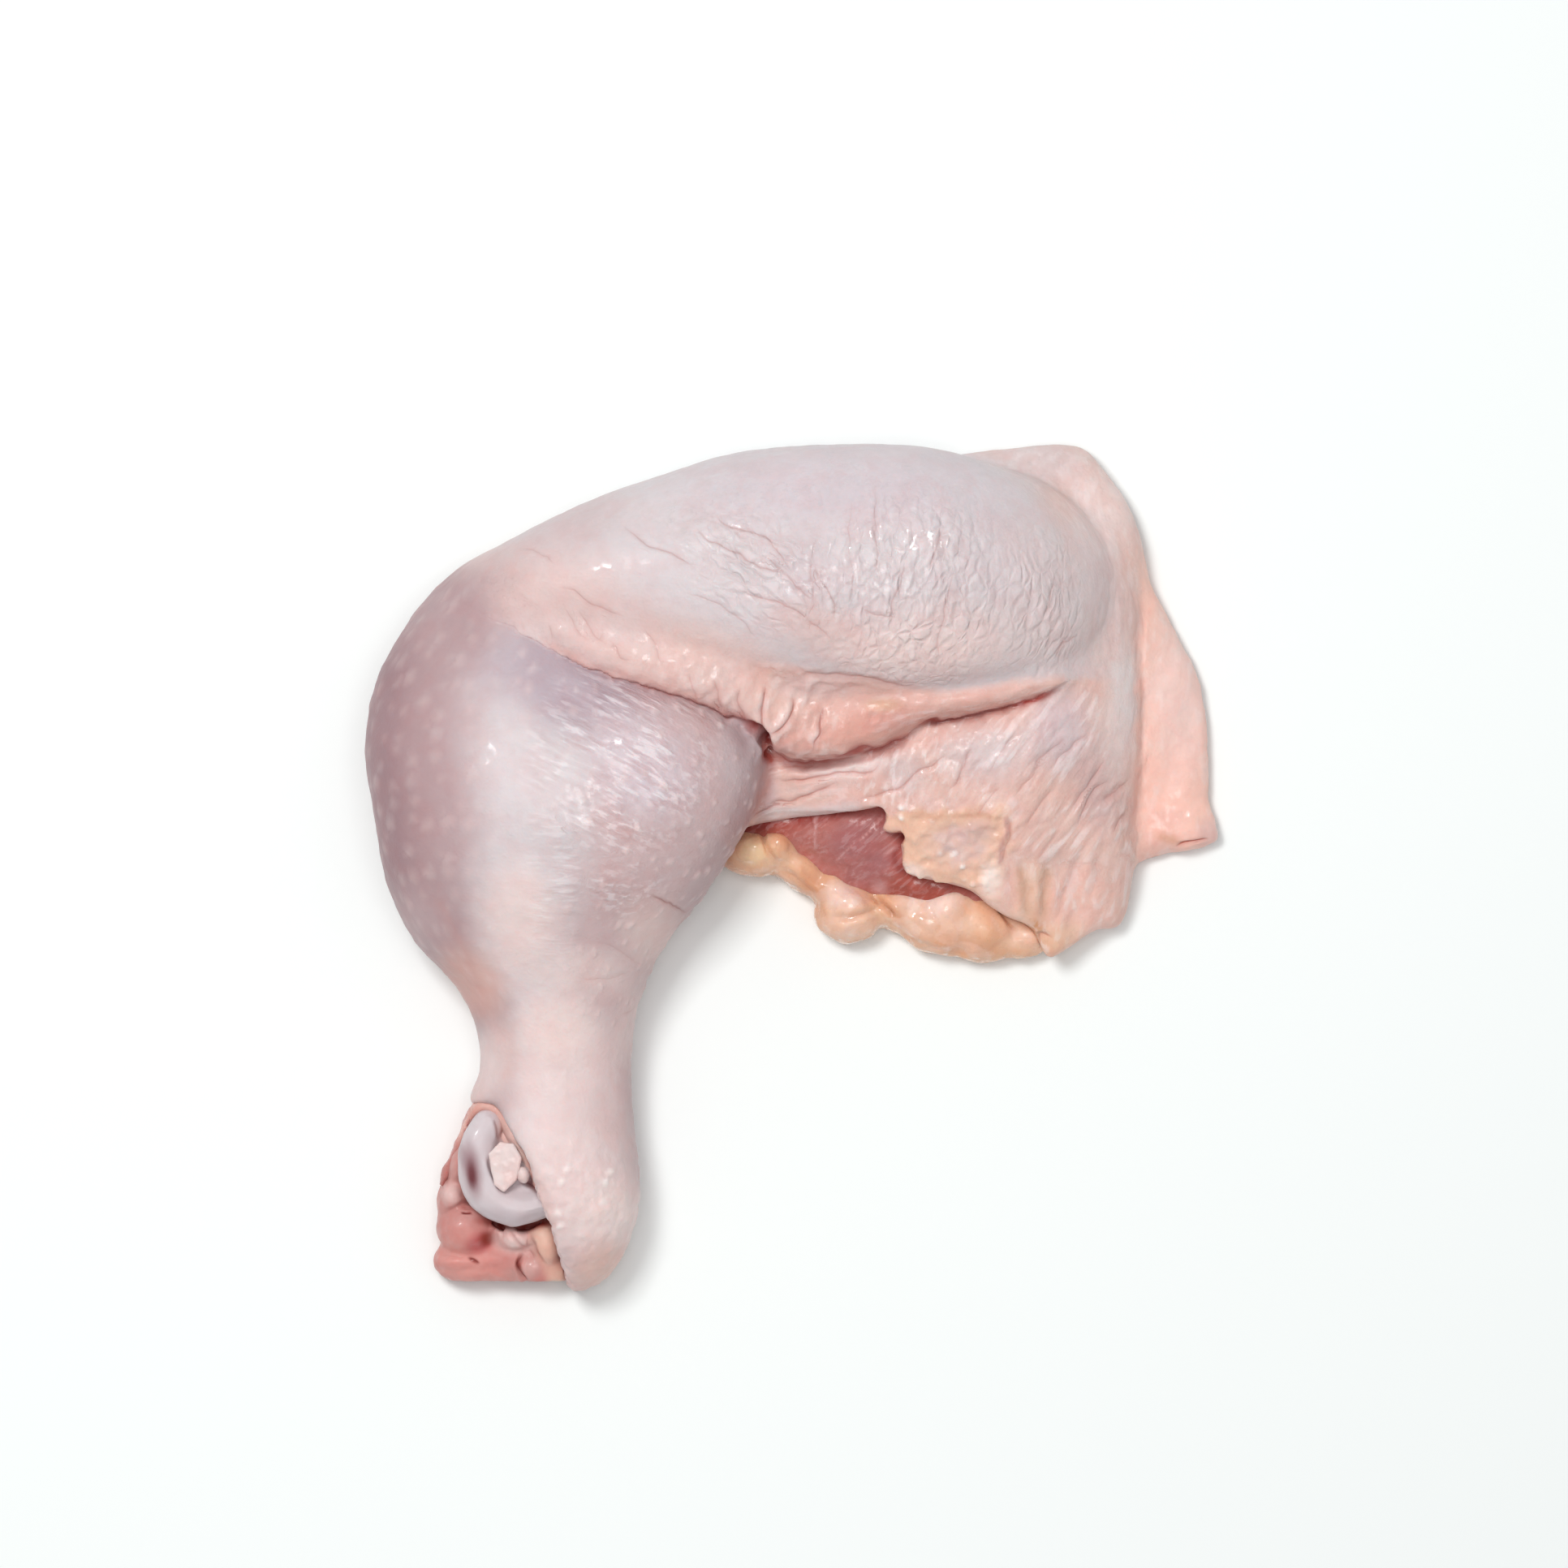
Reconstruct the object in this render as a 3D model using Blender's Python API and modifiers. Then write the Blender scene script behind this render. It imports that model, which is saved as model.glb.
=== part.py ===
"""A raw chicken leg quarter, thigh and drumstick in one piece, lying on a flat surface with its skin side up.

+X runs along the thigh from the knee to the back end, +Y away from the shank, and +Z up. The origin is the
middle of the footprint, on the surface that the leg lies on. Sizes in the tables below are in millimetres.
"""

import math

import bmesh
import bpy
import numpy as np
from mathutils import Vector, noise

MM = 0.001

# Driving dimensions
GAP = 0.35  # between one tissue and the next
SINK = 3.0  # how far the soft underside is pressed past the surface before it is cut flat
VOXEL = 1.1  # grain of the fused forms
NOSE = 16.0  # length over which a rounded end comes down to the surface
SHOULDER = 0.4  # the widest level of a form, as a share of its height
SKIN_UNEVEN = 0.45  # height of the slow lumps in the skin
SKIN_LUMP = 16.0  # and how far apart they lie
FAT_UNEVEN = 0.35
FAT_LUMP = 3.2
SKIN_TRIANGLES = 6800
FAT_TRIANGLES = 1100
BONE_TRIANGLES = 1000
TISSUE_TRIANGLES = 1000

# The limb forms. Each row is a cross-section: where it lies along the limb, its two sides, its height, and how
# far across its highest point lies, from 0 at the first side to 1 at the second.
DRUMSTICK = (  # along Y, from the knee to the hock
    (58.5, -55.5, -36, 22, 0.5),
    (54.5, -62.0, -24, 28, 0.5),
    (46, -70.6, -13, 34, 0.5),
    (34, -77.0, -7, 39.5, 0.5),
    (22, -78.8, -4.6, 44.5, 0.5),
    (10, -77.5, -6.8, 46, 0.5),
    (-2, -75.3, -13.6, 43, 0.5),
    (-14, -69.9, -22.9, 36, 0.5),
    (-26, -60.2, -28.4, 29, 0.5),
    (-36, -57.8, -29.7, 26, 0.5),
    (-45, -59.4, -29.5, 26.5, 0.5),
    (-55, -62.5, -28.4, 28.5, 0.55),
    (-64, -63.5, -28.4, 28, 0.6),
    (-72, -60.0, -31.0, 24, 0.65),
    (-77, -52.0, -34.6, 18, 0.62),
    (-79.6, -47.0, -39.0, 12, 0.6),
)
THIGH = (  # along X, from the knee to the back
    (-66, 40, 50.0, 20, 0.5),
    (-62, 38.5, 54.4, 27, 0.5),
    (-54, 38, 59.0, 33, 0.5),
    (-42, 36.5, 65.2, 38.5, 0.5),
    (-28, 33, 70.8, 42, 0.5),
    (-14, 30, 75.3, 44, 0.5),
    (0, 29, 77.5, 45.5, 0.5),
    (14, 29, 77.7, 46, 0.5),
    (28, 30, 76.5, 45, 0.5),
    (39, 31, 73.5, 41, 0.5),
    (49, 33, 68.5, 33.5, 0.5),
    (56, 38, 62, 24, 0.5),
    (59.5, 44, 57, 13, 0.5),
)
LOWER_SKIN = (  # the inner side of the thigh, along X, from the pinch behind the knee to the back
    (-32, 4, 46, 16, 0.5),
    (-20, 5, 46, 16, 0.4),
    (-8, 7, 46, 18, 0.32),
    (5, 6, 48, 21, 0.37),
    (14, -6, 50, 23, 0.55),
    (24, -11, 52, 25, 0.62),
    (34, -14.7, 52, 26, 0.65),
    (43, -17.8, 52, 26, 0.68),
    (49, -17.8, 50, 24.5, 0.73),
    (56, -12.6, 46, 21, 0.75),
    (61, -8.2, 48, 16.5, 0.7),
    (64, -1.0, 46, 12, 0.6),
)
BACK_SKIN = (  # the pad of skin behind the thigh, along Y
    (68, 48, 57, 9, 0.5),
    (61, 40, 62.4, 15, 0.4),
    (50, 38, 64.3, 19, 0.35),
    (36, 38, 64.4, 20, 0.35),
    (20, 38, 63.6, 20, 0.35),
    (5, 42, 63.4, 17, 0.35),
    (-6, 44, 62.8, 13, 0.4),
    (-12, 46, 60.5, 9, 0.5),
)
TOP_FLAP = (  # loose skin above the back of the thigh, along X
    (28, 60, 75.6, 15, 0.5),
    (38, 60, 77.3, 13.5, 0.5),
    (48, 56, 77.8, 12, 0.5),
    (54.2, 52, 77.2, 11, 0.5),
    (58.2, 48, 72.2, 10.5, 0.5),
    (61.8, 44, 67.0, 10.5, 0.5),
    (64.2, 42, 61.4, 9, 0.5),
    (65.4, 44, 55.4, 7.5, 0.5),
)
BACK_FLAP = (  # the strip of loose skin that lies on the surface behind the thigh, along Y
    (52.4, 58, 65.0, 7.5, 0.5),
    (46, 54, 69.4, 8.2, 0.5),
    (40, 54, 73.0, 8.2, 0.5),
    (34, 54, 75.9, 7.8, 0.5),
    (26, 54, 77.6, 7.2, 0.5),
    (18, 54, 78.1, 6.8, 0.5),
    (10, 54, 78.3, 6.8, 0.5),
    (6.4, 54, 79.8, 7.4, 0.7),
    (4.0, 56, 79.2, 6.6, 0.6),
    (1.9, 58, 70.0, 5.4, 0.5),
    (0.8, 60, 66.5, 4.6, 0.5),
)
FOLD_ROLL = (  # the roll of slack skin along the thigh's lower side, along X: sides, top and underside
    (-50, 41.5, 47, 34.5, 26),
    (-41, 37.6, 45.5, 38, 27),
    (-29, 33.6, 43.5, 39.5, 27),
    (-17, 30.0, 42, 39, 25),
    (-9, 26.4, 40, 37, 22.5),
    (-4.5, 22.6, 38, 35, 20),
    (0, 19.4, 37, 33, 19),
    (6, 19.0, 36, 32, 19),
    (13, 20.8, 35.5, 31.5, 20),
    (20, 24.0, 34.8, 31, 21),
    (27, 26.7, 34.5, 30.5, 22),
    (38, 29.3, 35, 30, 22),
    (48, 32.0, 35.5, 28, 22),
    (52, 33.2, 35.2, 25.5, 23),
)

# The edge of the skin over the bare meat, from the pinch to the lower edge, seen from above
SKIN_EDGE = (
    (-13.0, 5.0),
    (-7.4, 7.4),
    (-1.5, 8.6),
    (6.0, 9.2),
    (12.5, 9.9),
    (16.4, 9.9),
    (17.2, 7.6),
    (19.8, 5.4),
    (20.6, 2.4),
    (19.9, -1.6),
    (23.5, -2.6),
    (29.6, -3.6),
    (33.6, -4.6),
    (36.2, -7.4),
    (40.0, -9.8),
    (43.6, -10.8),
    (46.0, -13.6),
    (46.6, -19.0),
)
WINDOW_REACH = ((46.6, -30), (-24, -30), (-24, -4))  # the rest of the opening's outline, clear of the leg

# The edge of the skin over the hock joint, from above the joint to the end of the leg
HOCK_EDGE = (
    (-61.5, -43.2),
    (-58.4, -43.6),
    (-55.4, -43.8),
    (-52.6, -45.6),
    (-50.2, -49.6),
    (-48.3, -55.0),
    (-46.4, -60.6),
    (-44.6, -65.4),
    (-43.2, -71.0),
    (-41.4, -78.0),
    (-41.0, -84.0),
)
HOCK_REACH = ((-75, -84), (-75, -43.2))

# Creases pressed into the skin: name, points seen from above, depth and half width
CREASES = (
    ("knee_groove", ((-53, 45), (-41.3, 38.2), (-29.3, 33.4), (-17.3, 29.6), (-9, 25.6), (-4.2, 21.5)), 2.2, 2.0),
    ("fold_mouth", ((-3, 19.4), (4, 18.4), (12.7, 20.2), (20.2, 23.4), (26, 26.2), (38.2, 28.6), (51, 32.6)), 2.4, 1.7),
    ("over_the_roll", ((2, 36.4), (11, 34.2), (20, 32.9), (30, 32.4), (40, 33.4), (48, 34.6)), 0.9, 2.2),
    ("pinch_upper", ((-4.5, 9.6), (3, 14.6), (12, 17.8), (20, 20.6)), 1.3, 1.5),
    ("pinch_middle", ((-5, 8.6), (5, 11.6), (14, 13.4), (22, 17.4)), 1.1, 1.4),
    ("back_of_thigh", ((60, 62), (63.2, 50), (63.8, 34), (63.6, 16), (63.4, 2)), 1.6, 1.8),
    ("pleat_left", ((41.5, -9.5), (42.6, -3.5), (43.6, 2)), 1.1, 1.2),
    ("pleat_middle", ((46.8, -14), (47.4, -6), (48.2, 2)), 1.3, 1.3),
    ("pleat_right", ((52.4, -12), (52.4, -5), (53, 3)), 0.9, 1.2),
)

# Bare meat under the thigh's skin: a flat body that runs through the thigh and shows at the opening
MEAT_BODY = (  # along X
    (-2.5, 4, 16, 7, 0.5),
    (2, -3, 32, 10.5, 0.5),
    (10, -5.5, 44, 12, 0.5),
    (20, -6, 52, 12.5, 0.5),
    (30, -5.5, 55, 12.5, 0.5),
    (40, -1, 54, 11.5, 0.5),
    (47, 8, 48, 9, 0.5),
    (51, 18, 38, 5, 0.5),
)
MEAT_SHOWN = (  # the swell of muscle that shows in the opening, along X
    (-4, 3, 9, 9, 0.8),
    (2, -2, 12, 13, 0.8),
    (9, -5, 13, 14.5, 0.75),
    (16, -7, 12, 14, 0.7),
    (24, -8, 4, 11.5, 0.6),
    (31, -9, -2, 10, 0.6),
    (36, -10, -5, 8, 0.5),
)

# Lobes of yellow fat along the opening: middle, half sizes along X, Y and Z, and turn in degrees
FAT_LOBES = (
    ((-7.6, 2.0, 5.0), (6.6, 4.6, 7.4), -10),
    ((-2.8, 2.8, 5.5), (4.2, 3.6, 7.0), 30),
    ((1.4, -1.2, 4.0), (6.6, 3.6, 6.6), -32),
    ((7.2, -5.0, 4.0), (5.6, 3.8, 6.4), -40),
    ((10.8, -9.2, 4.6), (6.8, 5.6, 6.4), 8),
    ((20.0, -8.4, 4.0), (6.6, 4.6, 5.6), -24),
    ((27.4, -11.0, 4.4), (8.8, 6.0, 6.4), -18),
    ((35.0, -13.2, 4.2), (7.4, 5.2, 5.6), -8),
    ((43.0, -13.6, 3.6), (5.4, 4.4, 4.6), 12),
)

# The shin bone: a shaft that runs through the drumstick, with a smooth pulley-shaped end bare at the hock
BONE_AXIS = ((-45.5, 44, 18), (-45.0, 10, 17), (-45.6, -24, 14.5), (-48.0, -48, 13.5))
BONE_RADII = (6.2, 4.0, 3.6, 5.2)
PULLEY_RIM = (  # the raised rim of the pulley, with its radius: it turns down the joint and under the skin
    ((-56.2, -47.9, 16.0), 3.0),
    ((-57.9, -52.0, 16.4), 3.6),
    ((-58.0, -57.0, 16.0), 3.9),
    ((-56.0, -61.2, 15.4), 4.1),
    ((-52.0, -63.8, 15.2), 4.2),
    ((-47.6, -64.2, 15.6), 4.1),
    ((-43.6, -62.6, 15.6), 3.7),
)
PULLEY_CORE = ((-51.0, -56.4, 10.5), (6.6, 7.6, 7.2))

# Cut tissue round the hock joint: middle, half sizes, turn in degrees
JOINT_LUMPS = (
    ((-60.2, -67.4, 6.0), (6.0, 5.4, 7.4), 0),  # the cut dome of the foot bone
    ((-59.2, -73.6, 4.4), (7.6, 4.8, 5.6), 0),  # the thick rim under it
    ((-52.4, -73.2, 4.4), (7.6, 5.4, 6.0), 0),
    ((-46.2, -74.8, 4.6), (5.6, 4.8, 6.0), 0),
    ((-51.8, -68.8, 5.2), (4.6, 3.6, 6.8), 10),  # pale ligament in the middle
    ((-45.6, -69.6, 6.0), (3.0, 5.6, 8.0), 10),  # yellow tissue beside the skin
    ((-62.6, -61.6, 5.4), (3.2, 5.0, 7.2), -18),  # membrane along the outer side
    ((-61.0, -54.6, 6.6), (2.6, 5.4, 8.4), -20),
    ((-59.0, -48.6, 8.0), (2.2, 4.6, 9.6), -14),
)
JOINT_END = -77.4  # the cut face at the end of the leg

# A chip of cartilage that lies in the hollow of the pulley
CHIP_OUTLINE = (
    (-55.2, -53.2),
    (-53.2, -51.4),
    (-51.0, -51.6),
    (-49.7, -54.0),
    (-50.6, -57.4),
    (-52.6, -59.4),
    (-54.2, -58.2),
)
CHIP_LEVEL = (18.6, 20.2)


def new_object(name, mesh):
    obj = bpy.data.objects.new(name, mesh)
    bpy.context.scene.collection.objects.link(obj)
    return obj


def clear_scene():
    for obj in list(bpy.data.objects):
        bpy.data.objects.remove(obj)
    for mesh in list(bpy.data.meshes):
        bpy.data.meshes.remove(mesh)


def smooth_rows(rows, count):
    """The rows of a table joined by a smooth curve through all of them, as count rows spaced evenly along it."""
    rows = np.array(rows, float)
    steps = np.linalg.norm(np.diff(rows[:, :3], axis=0), axis=1)
    at = np.concatenate([[0.0], np.cumsum(steps)])
    slopes = np.gradient(rows, at, axis=0)
    made = []
    for s in np.linspace(0, at[-1], count):
        i = min(np.searchsorted(at, s, side="right") - 1, len(rows) - 2)
        width = at[i + 1] - at[i]
        t = (s - at[i]) / width
        blend = (2 * t**3 - 3 * t**2 + 1, t**3 - 2 * t**2 + t, 3 * t**2 - 2 * t**3, t**3 - t**2)
        made.append(
            blend[0] * rows[i]
            + blend[1] * width * slopes[i]
            + blend[2] * rows[i + 1]
            + blend[3] * width * slopes[i + 1]
        )
    return np.array(made)


def section(first, second, top, base, widest, peak, count=36):
    """One oval cross-section, as (across, up) pairs. Its highest point lies peak of the way across."""
    angles = np.linspace(0, 2 * math.pi, count, endpoint=False)
    across = (1 - np.cos(angles)) / 2
    skew = math.log(min(max(peak, 0.1), 0.9)) / math.log(0.5)
    up = np.sin(angles)
    fuller = np.sign(up) * np.abs(up) ** 0.9
    skewed = np.where(up > 0, across**skew, across)
    height = np.where(up > 0, widest + (top - widest) * fuller, widest + (widest - base) * fuller)
    return np.stack([first + (second - first) * skewed, height], axis=1)


def loft(name, sections):
    """A closed body through the sections, each a loop of points in millimetres."""
    bm = bmesh.new()
    rings = [[bm.verts.new(Vector(p) * MM) for p in points] for points in sections]
    for ring, after in zip(rings, rings[1:]):
        for i in range(len(ring)):
            j = (i + 1) % len(ring)
            bm.faces.new((ring[i], ring[j], after[j], after[i]))
    bm.faces.new(rings[0])
    bm.faces.new(rings[-1])
    bmesh.ops.recalc_face_normals(bm, faces=bm.faces)
    mesh = bpy.data.meshes.new(name)
    bm.to_mesh(mesh)
    bm.free()
    return new_object(name, mesh)


def limb(name, rows, along, count=44, grow=0.0, lifts=(0, 0), around=36):
    """A soft form that lies on the surface, from a table of cross-sections along X or along Y.

    The underside rises at the two ends by the lifts, as on a rounded nose.
    """
    sections = []
    for where, first, second, top, peak in smooth_rows(rows, count):
        base = -SINK - grow
        for end, lift in zip((rows[0][0], rows[-1][0]), lifts):
            inward = min(abs(where - end) / NOSE, 1)
            base += lift * (1 - math.sqrt(1 - (1 - inward) ** 2))
        loop = section(first - grow, second + grow, top + grow, base, top * SHOULDER, peak, around)
        if along == "X":
            sections.append([(where, across, up) for across, up in loop])
        else:
            sections.append([(across, where, up) for across, up in loop])
    return loft(name, sections)


def roll(name, rows, count=60):
    """A roll of skin along X that stands clear of the surface, from a table of its sides, top and underside."""
    sections = []
    for where, first, second, top, under in smooth_rows(rows, count):
        loop = section(first, second, top, under, (top + under) / 2, 0.5)
        sections.append([(where, across, up) for across, up in loop])
    return loft(name, sections)


def ball(name, middle, half, turn, fine=20):
    """An egg-shaped lump with half sizes along X, Y and Z, turned about the vertical."""
    bm = bmesh.new()
    bmesh.ops.create_uvsphere(bm, u_segments=fine, v_segments=fine // 2, radius=1.0)
    mesh = bpy.data.meshes.new(name)
    bm.to_mesh(mesh)
    bm.free()
    obj = new_object(name, mesh)
    obj.scale = [h * MM for h in half]
    obj.rotation_euler = (0, 0, math.radians(turn))
    obj.location = Vector(middle) * MM
    return obj


def tube(name, points, radii):
    """A round bar along a smooth curve through the points, with its own radius at each of them."""
    curve = bpy.data.curves.new(name, "CURVE")
    curve.dimensions = "3D"
    curve.bevel_depth = MM
    curve.bevel_resolution = 4
    curve.use_fill_caps = True
    spline = curve.splines.new("POLY")
    rows = smooth_rows([(*p, r) for p, r in zip(points, radii)], 4 * len(points))
    spline.points.add(len(rows) - 1)
    for point, (x, y, z, radius) in zip(spline.points, rows):
        point.co = (x * MM, y * MM, z * MM, 1)
        point.radius = radius
    return as_mesh(new_object(name, curve))


def prism(name, outline, low, high):
    """A block with the given outline, seen from above, between two heights."""
    curve = bpy.data.curves.new(name, "CURVE")
    curve.dimensions = "2D"
    curve.fill_mode = "BOTH"
    curve.extrude = (high - low) / 2 * MM
    spline = curve.splines.new("POLY")
    spline.points.add(len(outline) - 1)
    for point, (x, y) in zip(spline.points, outline):
        point.co = (x * MM, y * MM, 0, 1)
    spline.use_cyclic_u = True
    obj = new_object(name, curve)
    obj.location.z = (low + high) / 2 * MM
    return as_mesh(obj)


def as_mesh(obj):
    """The object as its modifiers show it, as a plain closed mesh in place of the object."""
    bpy.context.view_layer.update()
    graph = bpy.context.evaluated_depsgraph_get()
    mesh = bpy.data.meshes.new_from_object(obj.evaluated_get(graph))
    mesh.transform(obj.matrix_world)
    name = obj.name
    bpy.data.objects.remove(obj)
    bm = bmesh.new()
    bm.from_mesh(mesh)
    bmesh.ops.remove_doubles(bm, verts=bm.verts, dist=1e-6)
    bmesh.ops.recalc_face_normals(bm, faces=bm.faces)
    bm.to_mesh(mesh)
    bm.free()
    mesh.name = name
    return new_object(name, mesh)


def fused(name, pieces, voxel, rounds):
    """The pieces melted into one closed skin, and smoothed."""
    bm = bmesh.new()
    for piece in pieces:
        bpy.context.view_layer.update()
        part = piece.data.copy()
        part.transform(piece.matrix_world)
        bm.from_mesh(part)
        bpy.data.meshes.remove(part)
        bpy.data.objects.remove(piece)
    mesh = bpy.data.meshes.new(name)
    bm.to_mesh(mesh)
    bm.free()
    obj = new_object(name, mesh)
    remesh = obj.modifiers.new("Fuse", "REMESH")
    remesh.mode = "VOXEL"
    remesh.voxel_size = voxel * MM
    smooth = obj.modifiers.new("Smooth", "SMOOTH")
    smooth.factor = 0.5
    smooth.iterations = rounds
    return as_mesh(obj)


def joined(obj, other, operation, keep=False):
    """The object after one Boolean with the other, which is then removed unless it is kept."""
    cut = obj.modifiers.new(operation, "BOOLEAN")
    cut.operation = operation
    cut.object = other
    cut.solver = "EXACT"
    result = as_mesh(obj)
    if not keep:
        bpy.data.objects.remove(other)
    return result


def thinned(obj, triangles):
    """The object with fewer faces, kept where the form bends most."""
    obj.data.calc_loop_triangles()
    thin = obj.modifiers.new("Thin", "DECIMATE")
    thin.ratio = min(1.0, triangles / len(obj.data.loop_triangles))
    thin.use_collapse_triangulate = True
    return as_mesh(obj)


def grown(obj, name, by):
    """A copy that stands off the object's surface everywhere by the same amount."""
    copy = new_object(name, obj.data.copy())
    push = copy.modifiers.new("Grow", "DISPLACE")
    push.strength = by * MM
    push.mid_level = 0.0
    return as_mesh(copy)


def resting(obj):
    """The object cut flat at the surface that it lies on."""
    floor = prism("floor", ((-120, -120), (120, -120), (120, 120), (-120, 120)), -30, 0)
    return joined(obj, floor, "DIFFERENCE")


def points_of(mesh):
    co = np.empty(len(mesh.vertices) * 3, np.float32)
    mesh.vertices.foreach_get("co", co)
    return co.reshape(-1, 3).astype(float) / MM


def normals_of(mesh):
    normals = np.empty(len(mesh.vertices) * 3, np.float32)
    mesh.vertices.foreach_get("normal", normals)
    return normals.reshape(-1, 3).astype(float)


def put_points(mesh, points):
    mesh.vertices.foreach_set("co", (points * MM).astype(np.float32).ravel())
    mesh.update()


def distance_to_path(points, path):
    """How far each point lies from the path, seen from above, and how far along it, from 0 to 1."""
    path = smooth_rows([(x, y, 0) for x, y in path], 8 * len(path))[:, :2]
    steps = np.linalg.norm(np.diff(path, axis=0), axis=1)
    starts = np.concatenate([[0.0], np.cumsum(steps)])
    nearest = np.full(len(points), np.inf)
    share = np.zeros(len(points))
    for a, b, step, start in zip(path, path[1:], steps, starts):
        t = np.clip(((points[:, :2] - a) @ (b - a)) / step**2, 0, 1)
        away = np.linalg.norm(points[:, :2] - (a + t[:, None] * (b - a)), axis=1)
        closer = away < nearest
        nearest = np.where(closer, away, nearest)
        share = np.where(closer, (start + t * step) / starts[-1], share)
    return nearest, share


def press_creases(mesh, creases):
    """Presses each crease into the upper side of the skin: sharp along its line, and fading at its ends."""
    points = points_of(mesh)
    upward = np.clip(normals_of(mesh)[:, 2] * 3, 0, 1)
    for _, path, depth, half_width in creases:
        away, share = distance_to_path(points, path)
        valley = np.clip(1 - away / (2 * half_width), 0, 1) ** 2
        fade = np.clip(np.minimum(share, 1 - share) / 0.12, 0.25, 1)
        points[:, 2] -= depth * valley * fade * upward
    put_points(mesh, points)


def uneven(mesh, amount, spacing):
    """Slow lumps over a soft surface."""
    points = points_of(mesh)
    swell = np.array([noise.noise(Vector(p / spacing)) for p in points])
    put_points(mesh, points + normals_of(mesh) * (amount * swell)[:, None])


def material(name, colour, roughness):
    made = bpy.data.materials.new(name)
    made.use_nodes = True
    shader = made.node_tree.nodes["Principled BSDF"]
    shader.inputs["Base Color"].default_value = (*colour, 1)
    shader.inputs["Roughness"].default_value = roughness
    made.diffuse_color = (*colour, 1)
    return made


def finish(obj, name, collection, made_of):
    """Names the solid, puts it in the collection, gives it its material and shades it smooth."""
    bpy.context.scene.collection.objects.unlink(obj)
    collection.objects.link(obj)
    obj.name = name
    obj.data.name = name
    obj.data.materials.clear()
    obj.data.materials.append(made_of)
    obj.data.shade_smooth()
    obj.data.set_sharp_from_angle(angle=math.radians(40))
    return obj


def window_block():
    """What is open in the skin over the bare meat."""
    return prism("window", (*SKIN_EDGE, *WINDOW_REACH), -10, 60)


def hock_block():
    """What is open at the bare end of the hock."""
    return prism("hock", (*HOCK_EDGE, *HOCK_REACH), -10, 60)


def make_bone():
    shaft = tube("shaft", BONE_AXIS, BONE_RADII)
    rim = tube("rim", *zip(*PULLEY_RIM))
    ends = [
        ball("end", place, (radius,) * 3, 0)
        for place, radius in ((BONE_AXIS[0], BONE_RADII[0]), PULLEY_RIM[0], PULLEY_RIM[-1])
    ]
    core = ball("core", *PULLEY_CORE, 0)
    return thinned(fused("bone", [shaft, rim, core, *ends], 0.7, 3), BONE_TRIANGLES)


def make_skin():
    """The thigh and drumstick in their skin, fused into one form."""
    forms = [
        joined(limb("drumstick", DRUMSTICK, "Y", count=70, lifts=(14, 4)), hock_block(), "DIFFERENCE"),
        joined(limb("lower_skin", LOWER_SKIN, "X"), window_block(), "DIFFERENCE"),
        limb("thigh", THIGH, "X", count=60, lifts=(14, 8)),
        limb("back_skin", BACK_SKIN, "Y"),
        limb("top_flap", TOP_FLAP, "X"),
        limb("back_flap", BACK_FLAP, "Y"),
        roll("fold_roll", FOLD_ROLL),
    ]
    skin = fused("skin", forms, VOXEL, 4)
    press_creases(skin.data, CREASES)
    uneven(skin.data, SKIN_UNEVEN, SKIN_LUMP)
    return thinned(skin, SKIN_TRIANGLES)


def make_fat(skin_room):
    """The fat, and the room that it takes out of the meat."""
    fat = fused("fat", [ball("lobe", *lobe) for lobe in FAT_LOBES], 0.8, 2)
    uneven(fat.data, FAT_UNEVEN, FAT_LUMP)
    fat = thinned(fat, FAT_TRIANGLES)
    room = grown(fat, "fat_room", GAP)
    return resting(joined(fat, skin_room, "DIFFERENCE", keep=True)), room


def make_meat(skin_room, fat_room):
    shown = joined(limb("meat_shown", MEAT_SHOWN, "X", count=20, around=24), skin_room, "DIFFERENCE", keep=True)
    meat = resting(joined(limb("meat_body", MEAT_BODY, "X", count=20, around=24), shown, "UNION"))
    return joined(meat, fat_room, "DIFFERENCE")


def make_tissue(skin_room, bone_room):
    tissue = fused("tissue", [ball("lump", *lump) for lump in JOINT_LUMPS], 0.7, 2)
    tissue = joined(thinned(tissue, TISSUE_TRIANGLES), skin_room, "DIFFERENCE", keep=True)
    end = prism("end", ((-80, -90), (-20, -90), (-20, JOINT_END), (-80, JOINT_END)), -20, 60)
    tissue = resting(joined(tissue, end, "DIFFERENCE"))
    return joined(tissue, bone_room, "DIFFERENCE", keep=True)


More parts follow.
